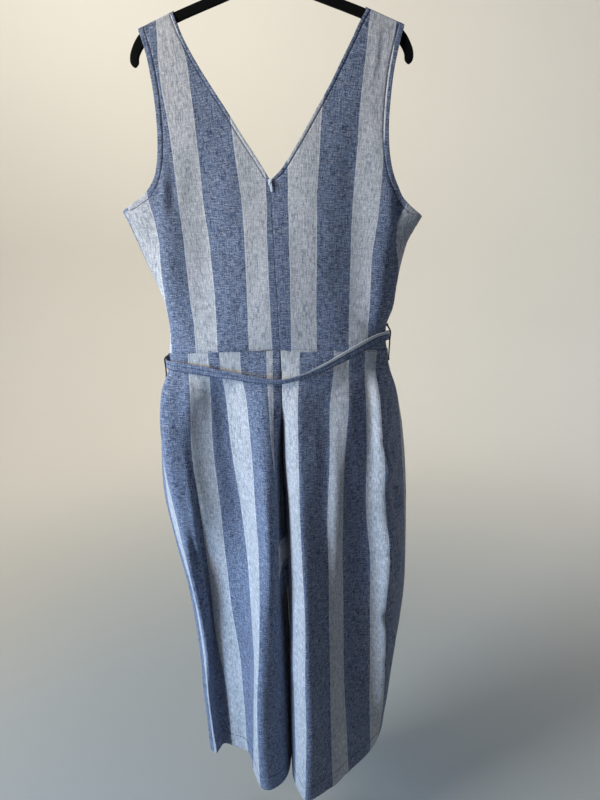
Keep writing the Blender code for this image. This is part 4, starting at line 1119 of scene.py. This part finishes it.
def front_table(rows, backs, waist):
    """Sections of a front panel, one flat row for each height."""
    edge, inner = waist[0], waist[-1]
    sign = -1 if edge < 0 else 1
    names = [edge, edge - 4 * sign] + [edge + (inner - edge) * s for s in FRONT_FRACTIONS]
    names += [inner + 8 * sign, inner]
    table = [(WAIST_Z, *waist_row(names, False).ravel())]
    for (z, outer, depths, turn), (_, back) in zip(rows, backs):
        points = [(back[0][0], back[0][1] + 2 * SEAM), outer]
        points += [(outer[0] + (turn[0] - outer[0]) * share, depth)
                   for share, depth in zip(FRONT_FRACTIONS, depths)]
        points += [turn, (back[-1][0], column(FRONT_SEAM, np.array([z]), 1)[0])]
        table.append((z, *np.array(points, float).ravel()))
    return table


def leg_plan(named, mate):
    """Points across every section, and the column of each named fold line."""
    dense = [[bend(*pts, BEND_STEPS) for pts in windows(row, m)] for row, m in zip(named, mate)]
    last = named.shape[1] - 2
    marks = np.array(EDGE_MARKS[:LEG_EDGE_MARKS])
    # rows keep one number of columns: edge marks that don't fit all rows are left out
    fit = [min(int((marks < lengths(row[k])[-1] * 0.6).sum()) for row in dense)
           for k in (0, last)]
    counts = []
    for k in range(last + 1):
        mean = np.mean([lengths(row[k])[-1] for row in dense])
        counts.append(max(2, int(round(mean / LEG_CELL))))
    plan, columns = [], [0]
    for row in dense:
        line = []
        for k, piece in enumerate(row):
            total = lengths(piece)[-1]
            where = np.linspace(0.0, total, counts[k] + 1)
            if k == 0:
                start = marks[:fit[0]]
                where = np.concatenate([start,
                                        np.linspace(start[-1], total, counts[k] + 1)[1:]])
            if k == last:
                end = total - marks[:fit[1]][::-1]
                where = np.concatenate([np.linspace(0.0, end[0], counts[k] + 1)[:-1], end])
            part = at_lengths(piece, where)
            line.append(part if k == 0 else part[1:])
            if not plan:
                columns.append(columns[-1] + len(where) - 1)
        plan.append(np.vstack(line))
    return np.array(plan), columns


def leg_panel(name, left, back, seed):
    """One leg panel from waist to hem, with its seams, creases and waviness."""
    backs = LEFT_BACK if left else RIGHT_BACK
    waist = LEFT_WAIST_X if left else RIGHT_WAIST_X
    there = front_table(LEFT_FRONT if left else RIGHT_FRONT, backs, waist)
    heights = leg_heights()
    b = along(back_table(backs, waist), heights).reshape(len(heights), -1, 2)
    f = along(there, heights).reshape(len(heights), -1, 2)
    f[:, -1, 1] = np.where(heights > CROTCH_Z, column(FRONT_SEAM, heights, 1),
                           b[:, -1, 1] + 2 * SEAM)
    f[:, -1, 0] = b[:, -1, 0]
    f[:, 0] = b[:, 0] + [0.0, 2 * SEAM]
    named, mate = (b, f[:, 1]) if back else (f, b[:, 1])
    plan, columns = leg_plan(named, mate)
    rises = np.zeros(named.shape[1])
    if not left:
        rises = np.array(RIGHT_HEM_RISE if back else FRONT_HEM_RISE_RIGHT, float)
    rise = np.interp(np.arange(plan.shape[1]), columns, rises)
    fall = np.clip((HEM_RISE_FROM - heights) / (HEM_RISE_FROM - HEM_Z), 0.0, 1.0) ** 1.3
    top = 1.0 - np.clip((WAIST_Z - heights) / WAIST_BLEND, 0.0, 1.0)
    z = heights[:, None] + fall[:, None] * rise
    z = z + (waist_z(plan[..., 0]) - WAIST_Z) * top[:, None]
    points = np.concatenate([plan, z[..., None]], -1)
    s_start, s_end = leg_stripes(points, columns, heights, left, back)
    panel = Panel(points, s_start, s_end, -1 if back else 1)
    outer, inner = panel.from_edges()
    s = panel.s()
    t = panel.t()
    none = np.zeros(s.shape, bool)
    above = ease(heights, CROTCH_Z, CROTCH_Z + CROTCH_REACH)[:, None]
    amount = edge_form(outer, t, none, seed) + edge_form(inner, t, none, seed + 3) * above
    from_waist = np.abs(heights[:, None] - WAIST_Z + SEAM) * np.ones_like(s)
    amount += edge_form(from_waist, s, none, seed + 6)
    amount += WAIST_LINE * np.exp(-(from_waist / 0.9) ** 2)
    from_hem = (heights - HEM_Z)[:, None] * np.ones_like(s)
    amount += line_form(from_hem - HEM_BAND, s, seed + 9)
    amount += 0.25 * (1.0 - ease(from_hem, HEM_BAND - 1.5, HEM_BAND + 1.5))
    amount += -0.35 * np.exp(-(from_hem / 0.7) ** 2)
    below = ease(WAIST_Z - heights, 0.0, 24.0)[:, None]
    if left and back:
        # a soft fold of the inner leg stands into the cleft under the crotch
        fold = ease(-heights, 965.0, 1000.0) * (1.0 - ease(-heights, 1075.0, 1125.0))
        amount += CLEFT_FOLD * np.exp(-((inner - 30.0) / 15.0) ** 2) * fold[:, None]
    amount += crease_form(name, s, z) * ease(outer, 0.0, 15.0) * ease(inner, 0.0, 10.0) * below
    amount += loose_form(s, z, seed + 12) * ease(np.minimum(inner, outer), 0.0, 12.0)
    panel.push(amount)
    panel.heights = heights
    return panel


def windows(row, mate):
    """Four neighbouring points for each stretch of a section."""
    padded = np.vstack([mate, row, 2 * row[-1] - row[-2]])
    return [padded[i:i + 4] for i in range(len(row) - 1)]


def cleft_stripes(s, heights):
    """The wall inside the cleft is held to the cloth's blue stripe, stretched over it as painted
    shade in that recess, and a pale patch just under the crotch.
    """
    # painted shade: the blue stripe is stretched to cover the cleft's wall, so the recess reads
    # dark
    deep = np.minimum(s + 20.0, 0.0)
    blue = np.where(s < -20.0, -20.0 + deep * 0.45, s)
    low = CLEFT_PATCH[1] - (s + 60.0) * 0.9
    inside = (heights[:, None] < CLEFT_PATCH[0]) & (heights[:, None] > low)
    return np.where(inside & (s < -18.0), -58.0 + deep * 0.3, blue)


def leg_stripes(points, columns, heights, left, back):
    """Fabric s at both sides of every cell."""
    run = row_runs(points[..., :2])
    if not back:
        s = run + LEG_FRONT_S[0 if left else 1]
        return s[:, :-1], s[:, 1:]
    names = LEFT_NAMES if left else RIGHT_NAMES
    marks = LEFT_MARKS if left else RIGHT_MARKS
    values = along(LEFT_S if left else RIGHT_S, heights)
    s_start = np.zeros((len(points), points.shape[1] - 1))
    s_end = s_start.copy()
    spots = [columns[names.index(mark)] for mark in marks]
    for k in range(len(marks) - 1):
        a, b = spots[k], spots[k + 1]
        if a == b:
            continue
        share = (run[:, a:b + 1] - run[:, a:a + 1]) / (run[:, b] - run[:, a])[:, None]
        s = values[:, k:k + 1] + (values[:, k + 1] - values[:, k])[:, None] * share
        s_start[:, a:b], s_end[:, a:b] = s[:, :-1], s[:, 1:]
    first, last = spots[0], spots[-1]
    side_rate = 1.0 if left else RIGHT_SIDE_RATE
    s = values[:, :1] + (run[:, first:first + 1] - run[:, :first + 1]) * side_rate
    s_start[:, :first], s_end[:, :first] = s[:, :-1], s[:, 1:]
    s = values[:, -1:] - (run[:, last:] - run[:, last:last + 1])
    if left:
        s = cleft_stripes(s, heights)
    s_start[:, last:], s_end[:, last:] = s[:, :-1], s[:, 1:]
    return s_start, s_end


legs = {}
for name, seed in (("leg_back_left", 110), ("leg_back_right", 130), ("leg_front_left", 150),
                   ("leg_front_right", 170)):
    legs[name] = leg_panel(name, "left" in name, "back" in name, seed)


def hang(piece, slot, *nodes):
    """Tie a piece to the garment's body and hide the solids it stands for; slot is not used."""
    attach(piece, BODY)
    if nodes:
        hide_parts(*nodes)
    return piece


cloth = {"bodice_back_left": [back_left], "bodice_back_right": [back_right],
         "bodice_front": [front_left, front_right]}
for name, panel in legs.items():
    cloth[name] = [panel]
for name, panels in cloth.items():
    slot = "bodice_cloth" if name.startswith("bodice") else "leg_cloth"
    hang(cloth_object("cloth_" + name, panels, CLOTH), slot, name)

# ------------------------------------------------------------------------ stitching
STITCH_PITCH = 3.0
STITCH_LONG = 2.7
STITCH_RADIUS = 0.58
# Rings of a stitch: place along it, as a share | thickness, as a share | height
STITCH_RINGS = ((-0.5, 0.45, -0.26), (-0.3, 0.95, 0.06), (0.3, 0.95, 0.06), (0.5, 0.45, -0.26))


def stitches(name, runs):
    """Rows of single stitches, each a small rounded bar whose ends dip into the cloth."""
    verts, faces = [], []
    ring = np.radians(np.arange(6) * 60.0)
    for points, normals in runs:
        both = np.hstack([points, normals])
        for start in np.arange(1.0, lengths(points)[-1] - STITCH_LONG, STITCH_PITCH):
            middle_at = [start + STITCH_LONG / 2]
            centre = at_lengths(points, middle_at)[0]
            tips = at_lengths(points, [start, start + STITCH_LONG])
            direction = unit(tips[1] - tips[0])
            out = unit(at_lengths(both, middle_at)[0, 3:])
            across = unit(np.cross(direction, out))
            base = len(verts)
            for share, fat, lift in STITCH_RINGS:
                spot = centre + direction * (share * STITCH_LONG) + out * (lift + 0.05)
                for angle in ring:
                    verts.append(spot + (across * math.cos(angle)
                                         + out * math.sin(angle)) * STITCH_RADIUS * fat)
            faces += ring_quads(4, 6, base)
            faces.append(tuple(range(base + 5, base - 1, -1)))
            faces.append(tuple(range(base + 18, base + 24)))
    made = mesh_object(name, np.array(verts) * MM, faces, None, STITCH)
    return hang(made, "thread")


def inset_run(panel, distances, rows, inset, from_start):
    """Points and normals at a distance from one side edge of a panel."""
    normals = panel.normals()
    points, outs = [], []
    for k in rows:
        d = distances[k]
        order = np.arange(len(d)) if from_start else np.arange(len(d))[::-1]
        j = int(np.argmax(d[order] >= inset))
        a, b = order[max(j - 1, 0)], order[j]
        share = (inset - d[a]) / max(d[b] - d[a], 1e-6)
        points.append(panel.points[k, a] * (1 - share) + panel.points[k, b] * share)
        outs.append(unit(normals[k, a] * (1 - share) + normals[k, b] * share))
    return np.array(points), np.array(outs)


def bodice_stitching(name, panels):
    """Stitches along the neck and the armhole of bodice panels."""
    runs = []
    for panel in panels:
        free_neck = np.where(panel.f > V_LINE + 0.15)[0]
        free_arm = np.where(panel.f > UNDERARM + 0.08)[0]
        runs.append(inset_run(panel, panel.inner, free_neck[:-4], BAND, True))
        runs.append(inset_run(panel, panel.outer, free_arm[:-4], ARM_BAND, False))
    return stitches(name, runs)


def hem_stitching(name, panel):
    """Stitches of one leg panel's hem."""
    row = int(np.argmin(np.abs(panel.heights - HEM_Z - HEM_BAND)))
    return stitches(name, [(panel.points[row, 2:-2], panel.normals()[row, 2:-2])])


bodice_stitching("stitching_back_left", [back_left])
bodice_stitching("stitching_back_right", [back_right])
bodice_stitching("stitching_front", [front_left, front_right])
for name, panel in legs.items():
    hem_stitching("hem_stitching_" + name.removeprefix("leg_"), panel)


# ----------------------------------------------------------------------------- belt
def strip_mesh(name, stations_of, wide, thick, finish, slot, *nodes):
    """Folded strip of cloth: rounded edges, a slight hollow and a stitched edge."""
    section = []
    for a in np.linspace(-1.0, 1.0, 19)[1:-1]:
        edge = 1.0 - abs(a) ** 6
        seam = 0.32 * math.exp(-((abs(a) - 0.72) / 0.07) ** 2)
        section.append((a, 0.5 + 0.5 * edge ** 0.5 - seam - 0.15 * (1 - a * a)))
    ring = np.array([(-1.0, 0.0)] + [(a, -h) for a, h in section] + [(1.0, 0.0)]
                    + [(a, h) for a, h in reversed(section)])
    turn = lengths(np.vstack([ring, ring[:1]]) * [wide / 2, thick / 2])
    run = lengths(np.array([p for p, _, _ in stations_of]))
    verts = [point + across * (a * wide / 2) + out * (b * thick / 2)
             for point, across, out in stations_of for a, b in ring]
    n = len(ring)
    end = len(stations_of) - 1
    faces = ring_quads(end + 1, n)
    uvs = [(turn[i + u], run[k + v]) for k in range(end) for i in range(n)
           for u, v in ((0, 0), (1, 0), (1, 1), (0, 1))]
    for k, order in ((0, range(n)), (end, range(n - 1, -1, -1))):
        faces.append(tuple(k * n + i for i in order))
        uvs += [(turn[i], run[k]) for i in order]
    made = mesh_object(name, np.array(verts) * MM, faces, np.array(uvs) * MM, finish)
    rework(made, lambda work: bmesh.ops.recalc_face_normals(work, faces=work.faces))
    return hang(made, slot, *nodes)


def belt_stations():
    """Points of the belt round the waist, with its directions across and out."""
    knots = [np.array(row[:3]) for row in BELT]
    line = curve_through(knots, 12)
    turn = np.radians(np.interp(np.arange(len(line)) / 12.0, np.arange(len(BELT)),
                                [row[3] for row in BELT]))
    found = []
    for i, p in enumerate(line):
        direction = unit(line[min(i + 1, len(line) - 1)] - line[max(i - 1, 0)])
        up = unit(np.array([0, 0, 1.0]) - direction * direction[2])
        out = np.cross(direction, up)
        waver = 0.5 * float(mottle(np.array(i / 9.0), np.array(0.3), 7))
        share = float(column(BELT_SHARE, np.array([p[0]]), 1)[0]) if p[1] < 0.0 else 1.0
        across = up * math.cos(turn[i]) + out * math.sin(turn[i])
        found.append((p + up * waver * 0.6, across * share,
                      out * math.cos(turn[i]) - up * math.sin(turn[i])))
    return found


belt = strip_mesh("belt_strip", belt_stations(), BELT_SHOWN, BELT_THICK, BELT_CLOTH,
                  "belt_cloth", "belt")


def tail_stations(near, far, more):
    """Points of a free end of the belt, with its directions across and out."""
    marks = [np.array([KNOT[0] + near + (far - near) * part, y,
                       KNOT[2] - 11.0 - (TAIL_LONG + more) * part]) for part, y in TAIL_PATH]
    path = curve_through(marks, 22)
    found = []
    for i, p in enumerate(path):
        direction = unit(path[min(i + 1, len(path) - 1)] - path[max(i - 1, 0)])
        across = unit(np.array([1.0, 0, 0]) - direction * direction[0])
        lean = 0.35 * math.sin(i / len(path) * 5.0) * (i / len(path))
        out = np.cross(direction, across)
        found.append((p, across * math.cos(lean) + out * math.sin(lean),
                      out * math.cos(lean) - across * math.sin(lean)))
    return found


for name, near, far, more in TAILS:
    node = "belt_end_left" if near < 0 else "belt_end_right"
    strip_mesh(name, tail_stations(near, far, more), TAIL_WIDE, BELT_THICK,
                            BELT_CLOTH, "belt_cloth", node)


def knot_stations():
    """The turn of the belt that wraps over the knot, a loop seen from the front."""
    found = []
    for k in range(41):
        angle = math.radians(-100 + 380 * k / 40)
        p = np.array([KNOT[0] + 2.0 * math.sin(angle * 0.5),
                      KNOT[1] + 3.3 * math.cos(angle), KNOT[2] + 7.6 * math.sin(angle)])
        across = unit(np.array([1.0, 0.0, 0.28]))
        direction = np.array([0.0, -math.sin(angle), math.cos(angle)])
        found.append((p, across, unit(np.cross(direction, across))))
    return found


KNOT_ROUND = 40       # points round the knot
KNOT_RINGS = 24       # steps from its top to its bottom


def knot_core():
    """The bunched cloth inside the turn: a lumpy pillow."""
    ball = [(0.0, 0.0, 1.0)]
    for polar in np.arange(1, KNOT_RINGS) * math.pi / KNOT_RINGS:
        for turn in np.arange(KNOT_ROUND) * 2 * math.pi / KNOT_ROUND:
            ball.append((math.sin(polar) * math.cos(turn), math.sin(polar) * math.sin(turn),
                         math.cos(polar)))
    ball.append((0.0, 0.0, -1.0))
    verts = []
    for x, y, z in ball:
        angle = math.atan2(z, x)
        lump = 1.0 - 0.14 * math.cos(2 * angle + 0.7) + 0.05 * math.sin(5 * angle + 3 * y)
        verts.append(np.array([x * 10.4 * lump, y * 3.6, z * 7.4 * lump]) + KNOT)
    verts = np.array(verts) * MM
    end = len(verts) - 1
    faces = [(a, d, c, b) for a, b, c, d in ring_quads(KNOT_RINGS - 1, KNOT_ROUND, 1)]
    for i in range(KNOT_ROUND):
        j = (i + 1) % KNOT_ROUND
        faces += [(0, 1 + i, 1 + j), (end, end - KNOT_ROUND + j, end - KNOT_ROUND + i)]
    uvs = [verts[i][[0, 2]] for face in faces for i in face]
    made = mesh_object("belt_knot_core", verts, faces, uvs, BELT_CLOTH)
    return hang(made, "belt_cloth", "belt_knot")


knot_core()
strip_mesh("belt_knot_turn", knot_stations(), TURN_WIDE, BELT_THICK, BELT_CLOTH, "belt_cloth")


# ------------------------------------------------------------------ tubes and cords
def tube_mesh(points, radius, sides=10, taper=None):
    """Vertices and faces of a round tube with closed ends."""
    points = np.asarray(points, float)
    direction = unit(np.gradient(points, axis=0))
    side = unit(np.cross(direction[0], [0.12, 0.25, 0.96]))
    verts = []
    for k, (p, d) in enumerate(zip(points, direction)):
        side = unit(side - d * (side @ d))
        up = np.cross(d, side)
        r = radius if taper is None else radius * taper[k]
        for i in range(sides):
            angle = 2 * math.pi * i / sides
            verts.append(p + (side * math.cos(angle) + up * math.sin(angle)) * r)
    faces = ring_quads(len(points), sides)
    faces.append(tuple(range(sides - 1, -1, -1)))
    faces.append(tuple(range(len(verts) - sides, len(verts))))
    return verts, faces


def joined_tubes(name, runs, finish, slot, *nodes, sides=10):
    """Several tubes as one object; runs holds the points and radius of each."""
    verts, faces = [], []
    for points, radius in runs:
        v, f = tube_mesh(points, radius, sides)
        faces += [tuple(i + len(verts) for i in face) for face in f]
        verts += v
    made = mesh_object(name, np.array(verts) * MM, faces, None, finish)
    return hang(made, slot, *nodes)


# Thread loops: two strands twisted along the route round the belt
LOOPS = (("loop_left", -645.0, -689.0, 6, -1.0), ("loop_right", -588.0, -648.0, 20, 1.0))
LOOP_THREAD = 0.9
SEAT = 0.3


def side_seam_point(side, z):
    """Point of a side seam at a height."""
    if z > WAIST_Z:
        pick = 1 if side < 0 else 3
        table = [(row[pick + 1], row[pick]) for row in LINES[:UNDERARM + 1]]
        return np.array([column(table, np.array([z]), 1)[0],
                         column(TUBE, np.array([z]), 3)[0], z])
    rows = back_table(LEFT_BACK if side < 0 else RIGHT_BACK,
                      LEFT_WAIST_X if side < 0 else RIGHT_WAIST_X)
    x, y = along(rows, [z])[0, :2]
    return np.array([x, y, z])


for name, top, bottom, held, side in LOOPS:
    off = np.array([side * (LOOP_THREAD + SEAT), 0.0, 0.0])
    belt_face = np.array(BELT[held][:3]) + off + [side * BELT_THICK / 2, 0.0, 0.0]
    half_belt = np.array([0.0, 0.0, BELT_WIDE / 2])
    route = curve_through([side_seam_point(side, top) + off * 0.6, belt_face + half_belt,
                           belt_face - half_belt, side_seam_point(side, bottom) + off * 0.6],
                          40)
    run = lengths(route)
    strands = []
    for phase in (0.0, math.pi):
        twist = run / 2.6 * math.pi * 2 + phase
        strands.append((route + np.stack([np.cos(twist), np.sin(twist), 0 * twist], 1) * 0.75,
                        0.8))
    for end in (route[0], route[-1]):
        knot = np.array([end + [0.0, 0.0, dz] for dz in (-2.2, -0.8, 0.8, 2.2)])
        strands.append((knot, 1.7))
    joined_tubes("thread_" + name, strands, NAVY, "thread", name, sides=7)


# --------------------------------------------------------------------------- hanger
def close_sides(work):
    """Fill the open front and back of the hanger."""
    rims = [e for e in work.edges if e.is_boundary]
    bmesh.ops.holes_fill(work, edges=rims, sides=0)
    bmesh.ops.triangulate(work, faces=[f for f in work.faces if len(f.verts) > 4])
    bmesh.ops.recalc_face_normals(work, faces=work.faces)


def hanger_arms():
    """The hanger's arms, their outline rounded off toward both faces."""
    half = [np.array(p) for p in HANGER_OUTLINE]
    full = half + [p * [-1, 1] for p in reversed(half[1:-1])]
    n = len(full)
    smooth = []
    for i in range(n):
        smooth += list(bend(full[i - 1], full[i], full[(i + 1) % n], full[(i + 2) % n], 6)[:-1])
    smooth = np.array(smooth)
    ahead = unit(np.roll(smooth, -1, 0) - np.roll(smooth, 1, 0))
    inward = np.stack([-ahead[:, 1], ahead[:, 0]], 1)
    angles = np.radians(np.arange(-90, 91, 22.5))
    verts = []
    for angle in angles:
        inset = HANGER_ROUND * (1 - math.cos(angle))
        depth = (HANGER_THICK / 2 - HANGER_ROUND) * np.sign(math.sin(angle))
        depth += HANGER_ROUND * math.sin(angle)
        verts += [(x, depth, z) for x, z in smooth + inward * inset]
    faces = ring_quads(len(angles), len(smooth))
    made = mesh_object("hanger_body", np.array(verts) * MM, faces, None, FLOCK)
    rework(made, close_sides)
    made.data.set_sharp_from_angle(angle=math.radians(50))
    hang(made, "hanger", "hanger_arms")


def hook_piece(name, points, radius, sides, taper, *nodes):
    """A round steel piece of the hook."""
    verts, faces = tube_mesh(points, radius, sides, taper)
    hang(mesh_object(name, np.array(verts) * MM, faces, None, STEEL), "hook", *nodes)


HOOK_WIRE = 1.9       # radius of the wire
HOOK_INNER = 20.0     # inner radius of the bend


def hook():
    """The wire with its bend, its rounded tip and the collar at its foot."""
    r = HOOK_INNER + HOOK_WIRE
    marks = [(0.0, 0.0, -64.0), (0.0, 0.0, -56.6), (0.3, 0.0, -49.0)]
    for k in range(25):
        angle = math.radians(-78 + 278 * k / 24)
        marks.append((r * math.cos(angle), 0.0, HOOK_WIRE - r + r * math.sin(angle)))
    path = curve_through(marks, 6)
    hook_piece("hook_wire", path, HOOK_WIRE, 20, None, "hanger_hook")
    tip = [path[-1] + (path[-1] - path[-2]) * k * 0.5 for k in range(-2, 4)]
    hook_piece("hook_tip", tip, HOOK_WIRE + 0.35, 20, (0.9, 1.0, 1.0, 1.0, 0.92, 0.6))
    collar = [(0.0, 0.0, z) for z in (-65.5, -64.2, -61.0, -59.4, -58.6)]
    hook_piece("hook_collar", collar, 4.3, 24, (1.0, 1.0, 1.0, 0.86, 0.55))


hanger_arms()
hook()


# ------------------------------------------------------------------------------ zip
def soften(node, finish, width):
    """The solid's own form with its edges rounded off."""
    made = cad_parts[node]
    made.data.materials.clear()
    made.data.materials.append(finish)
    round_off = made.modifiers.new("round", "BEVEL")
    round_off.width = width * MM
    round_off.segments = 2
    round_off.limit_method = "ANGLE"
    return made


soften("zip_slider", SILVER, 0.18)
soften("zip_pull", SILVER, 0.16)

# How far the tape lies inside the seam: z | distance
TAPE_INSIDE = ((-357.0, 2.0), (-590.0, 2.0), (-624.0, 3.3), (-662.0, 5.0), (-770.0, 6.5))
seam_line = back_table(LEFT_BACK, LEFT_WAIST_X)
tape_z = np.linspace(-366.0, -770.0, 120)
tape_x = np.where(tape_z > WAIST_Z, middle_x(tape_z), along(seam_line, tape_z)[:, -2])
tape_y = np.where(tape_z > WAIST_Z, tube_depth(middle_x(tape_z), tape_z, True),
                  along(seam_line, tape_z)[:, -1])
tape_y = tape_y + column(TAPE_INSIDE, tape_z, 1)
tape_line = [(np.array([x, y, z]), np.array([1.0, 0, 0]), np.array([0, 1.0, 0]))
             for x, y, z in zip(tape_x, tape_y, tape_z)]
strip_mesh("zip_tape_cloth", tape_line, 20.0, 0.8, TAPE, "tape", "zip_tape")

TOOTH_PITCH = 1.5     # one turn of the coil
coil = []
for side in (-1.0, 1.0):
    z = np.arange(-368.0, -766.0, -TOOTH_PITCH / 8)
    turn = (z / TOOTH_PITCH) * 2 * math.pi
    x = np.interp(-z, -tape_z, tape_x) + side * 1.3 + 0.85 * np.cos(turn) * side
    y = np.interp(-z, -tape_z, tape_y) + 0.95 + 0.45 * np.sin(turn)
    coil.append((np.stack([x, y, z], 1), 0.24))
joined_tubes("zip_coil", coil, TAPE, "tape", sides=5)

# ----------------------------------------------------------------- floor and lights
FLOOR_Z = -1.72
ROOM = 3.1            # radius of the round studio
COVE = 1.1            # radius of its curve from floor to wall
WALL_TOP = 2.2


def sweep():
    """Pale round studio: a floor that curves up into the wall on every side, with painted shade
    on its -Y side and toward the floor's middle.
    """
    profile = [(0.0, FLOOR_Z), (ROOM - COVE, FLOOR_Z)]
    for k in range(1, 17):
        angle = math.radians(90 * k / 16)
        profile.append((ROOM - COVE + COVE * math.sin(angle),
                        FLOOR_Z + COVE * (1 - math.cos(angle))))
    profile.append((ROOM, WALL_TOP))
    around = 96
    verts = [(0.0, 0.0, FLOOR_Z)]
    for r, z in profile[1:]:
        for i in range(around):
            angle = 2 * math.pi * i / around
            verts.append((r * math.cos(angle), r * math.sin(angle), z))
    faces = [(0, 1 + i, 1 + (i + 1) % around) for i in range(around)]
    faces += [(a, d, c, b) for a, b, c, d in ring_quads(len(profile) - 1, around, 1)]
    f = Finish("studio_paint_and_painted_shade", rough=0.9)
    where = f.place()
    flat = f.node("ShaderNodeVectorMath", {0: where, 1: (1.0, 1.0, 0.0)}, operation="MULTIPLY")
    radius = f.node("ShaderNodeVectorMath", {0: flat.outputs[0]}, operation="LENGTH")
    paint = f.mix(f.noise(where, 1.4, 2.0), (0.76, 0.735, 0.68, 1.0), (0.80, 0.775, 0.72, 1.0))
    # painted shade: the side of the studio toward -Y, behind the camera, is painted darker
    depth = f.node("ShaderNodeSeparateXYZ", {0: where}).outputs[1]
    paint = f.mix(f.step(depth, -1.6, 0.4), (0.36, 0.37, 0.39, 1.0), paint)
    # painted shade: the floor is painted darker toward its middle, under the garment
    f.colour(f.mix(f.step(radius.outputs[1], 0.3, 2.6), (0.33, 0.36, 0.37, 1.0), paint))
    return mesh_object("studio_sweep", verts, faces, None, f.made)


sweep()


def area_light(name, place, target, size, power, colour, spread=180.0):
    """A rectangular light that faces its target and stays out of the picture."""
    data = bpy.data.lights.new(name, "AREA")
    data.shape = "RECTANGLE"
    data.size, data.size_y = size
    data.energy = power
    data.color = colour
    data.spread = math.radians(spread)
    made = bpy.data.objects.new(name, data)
    made.location = place
    made.rotation_euler = (Vector(target) - Vector(place)).to_track_quat("-Z", "Y").to_euler()
    made.visible_camera = False
    bpy.context.scene.collection.objects.link(made)
    return made


area_light("window_key", (-1.65, -0.93, 0.1), (0.05, 0.0, -0.45), (0.65, 1.4), 50.0,
           (1.0, 0.91, 0.76))
area_light("low_key", (-1.6, -0.9, -0.95), (0.0, 0.0, -1.2), (0.5, 0.8), 6.5,
           (0.15, 0.52, 1.0), 90.0)
area_light("wall_light", (-1.0, 0.75, 1.75), (-0.2, 3.0, -0.5), (1.7, 1.1), 40.0,
           (1.0, 0.94, 0.80), 140.0)

world = bpy.data.worlds.new("studio")
world.use_nodes = True
world.node_tree.nodes["Background"].inputs[0].default_value = (0.30, 0.52, 1.0, 1.0)
world.node_tree.nodes["Background"].inputs[1].default_value = 0.24
scene = bpy.context.scene
scene.world = world
scene.view_settings.view_transform = "Standard"

# --------------------------------------------------------------------------- camera
CAMERA_AT = (0.1045, -1.021, -0.411)
CAMERA_PITCH = math.radians(17.0)     # looking down
CAMERA_YAW = math.radians(3.3)        # turned to the left
FOCAL_PIXELS = 601.0
FRAME_HEIGHT = 800.0
SENSOR = 36.0

lens = bpy.data.cameras.new("camera")
lens.sensor_fit = "VERTICAL"
lens.sensor_height = SENSOR
lens.sensor_width = SENSOR
lens.lens = SENSOR * FOCAL_PIXELS / FRAME_HEIGHT
camera = bpy.data.objects.new("camera", lens)
right = Vector((math.cos(CAMERA_YAW), math.sin(CAMERA_YAW), 0.0))
ahead = Vector((-math.sin(CAMERA_YAW) * math.cos(CAMERA_PITCH),
                math.cos(CAMERA_YAW) * math.cos(CAMERA_PITCH), -math.sin(CAMERA_PITCH)))
up = right.cross(ahead)
turned = Matrix((right, up, -ahead)).transposed()
camera.matrix_world = Matrix.Translation(CAMERA_AT) @ turned.to_4x4()
scene.collection.objects.link(camera)
scene.camera = camera
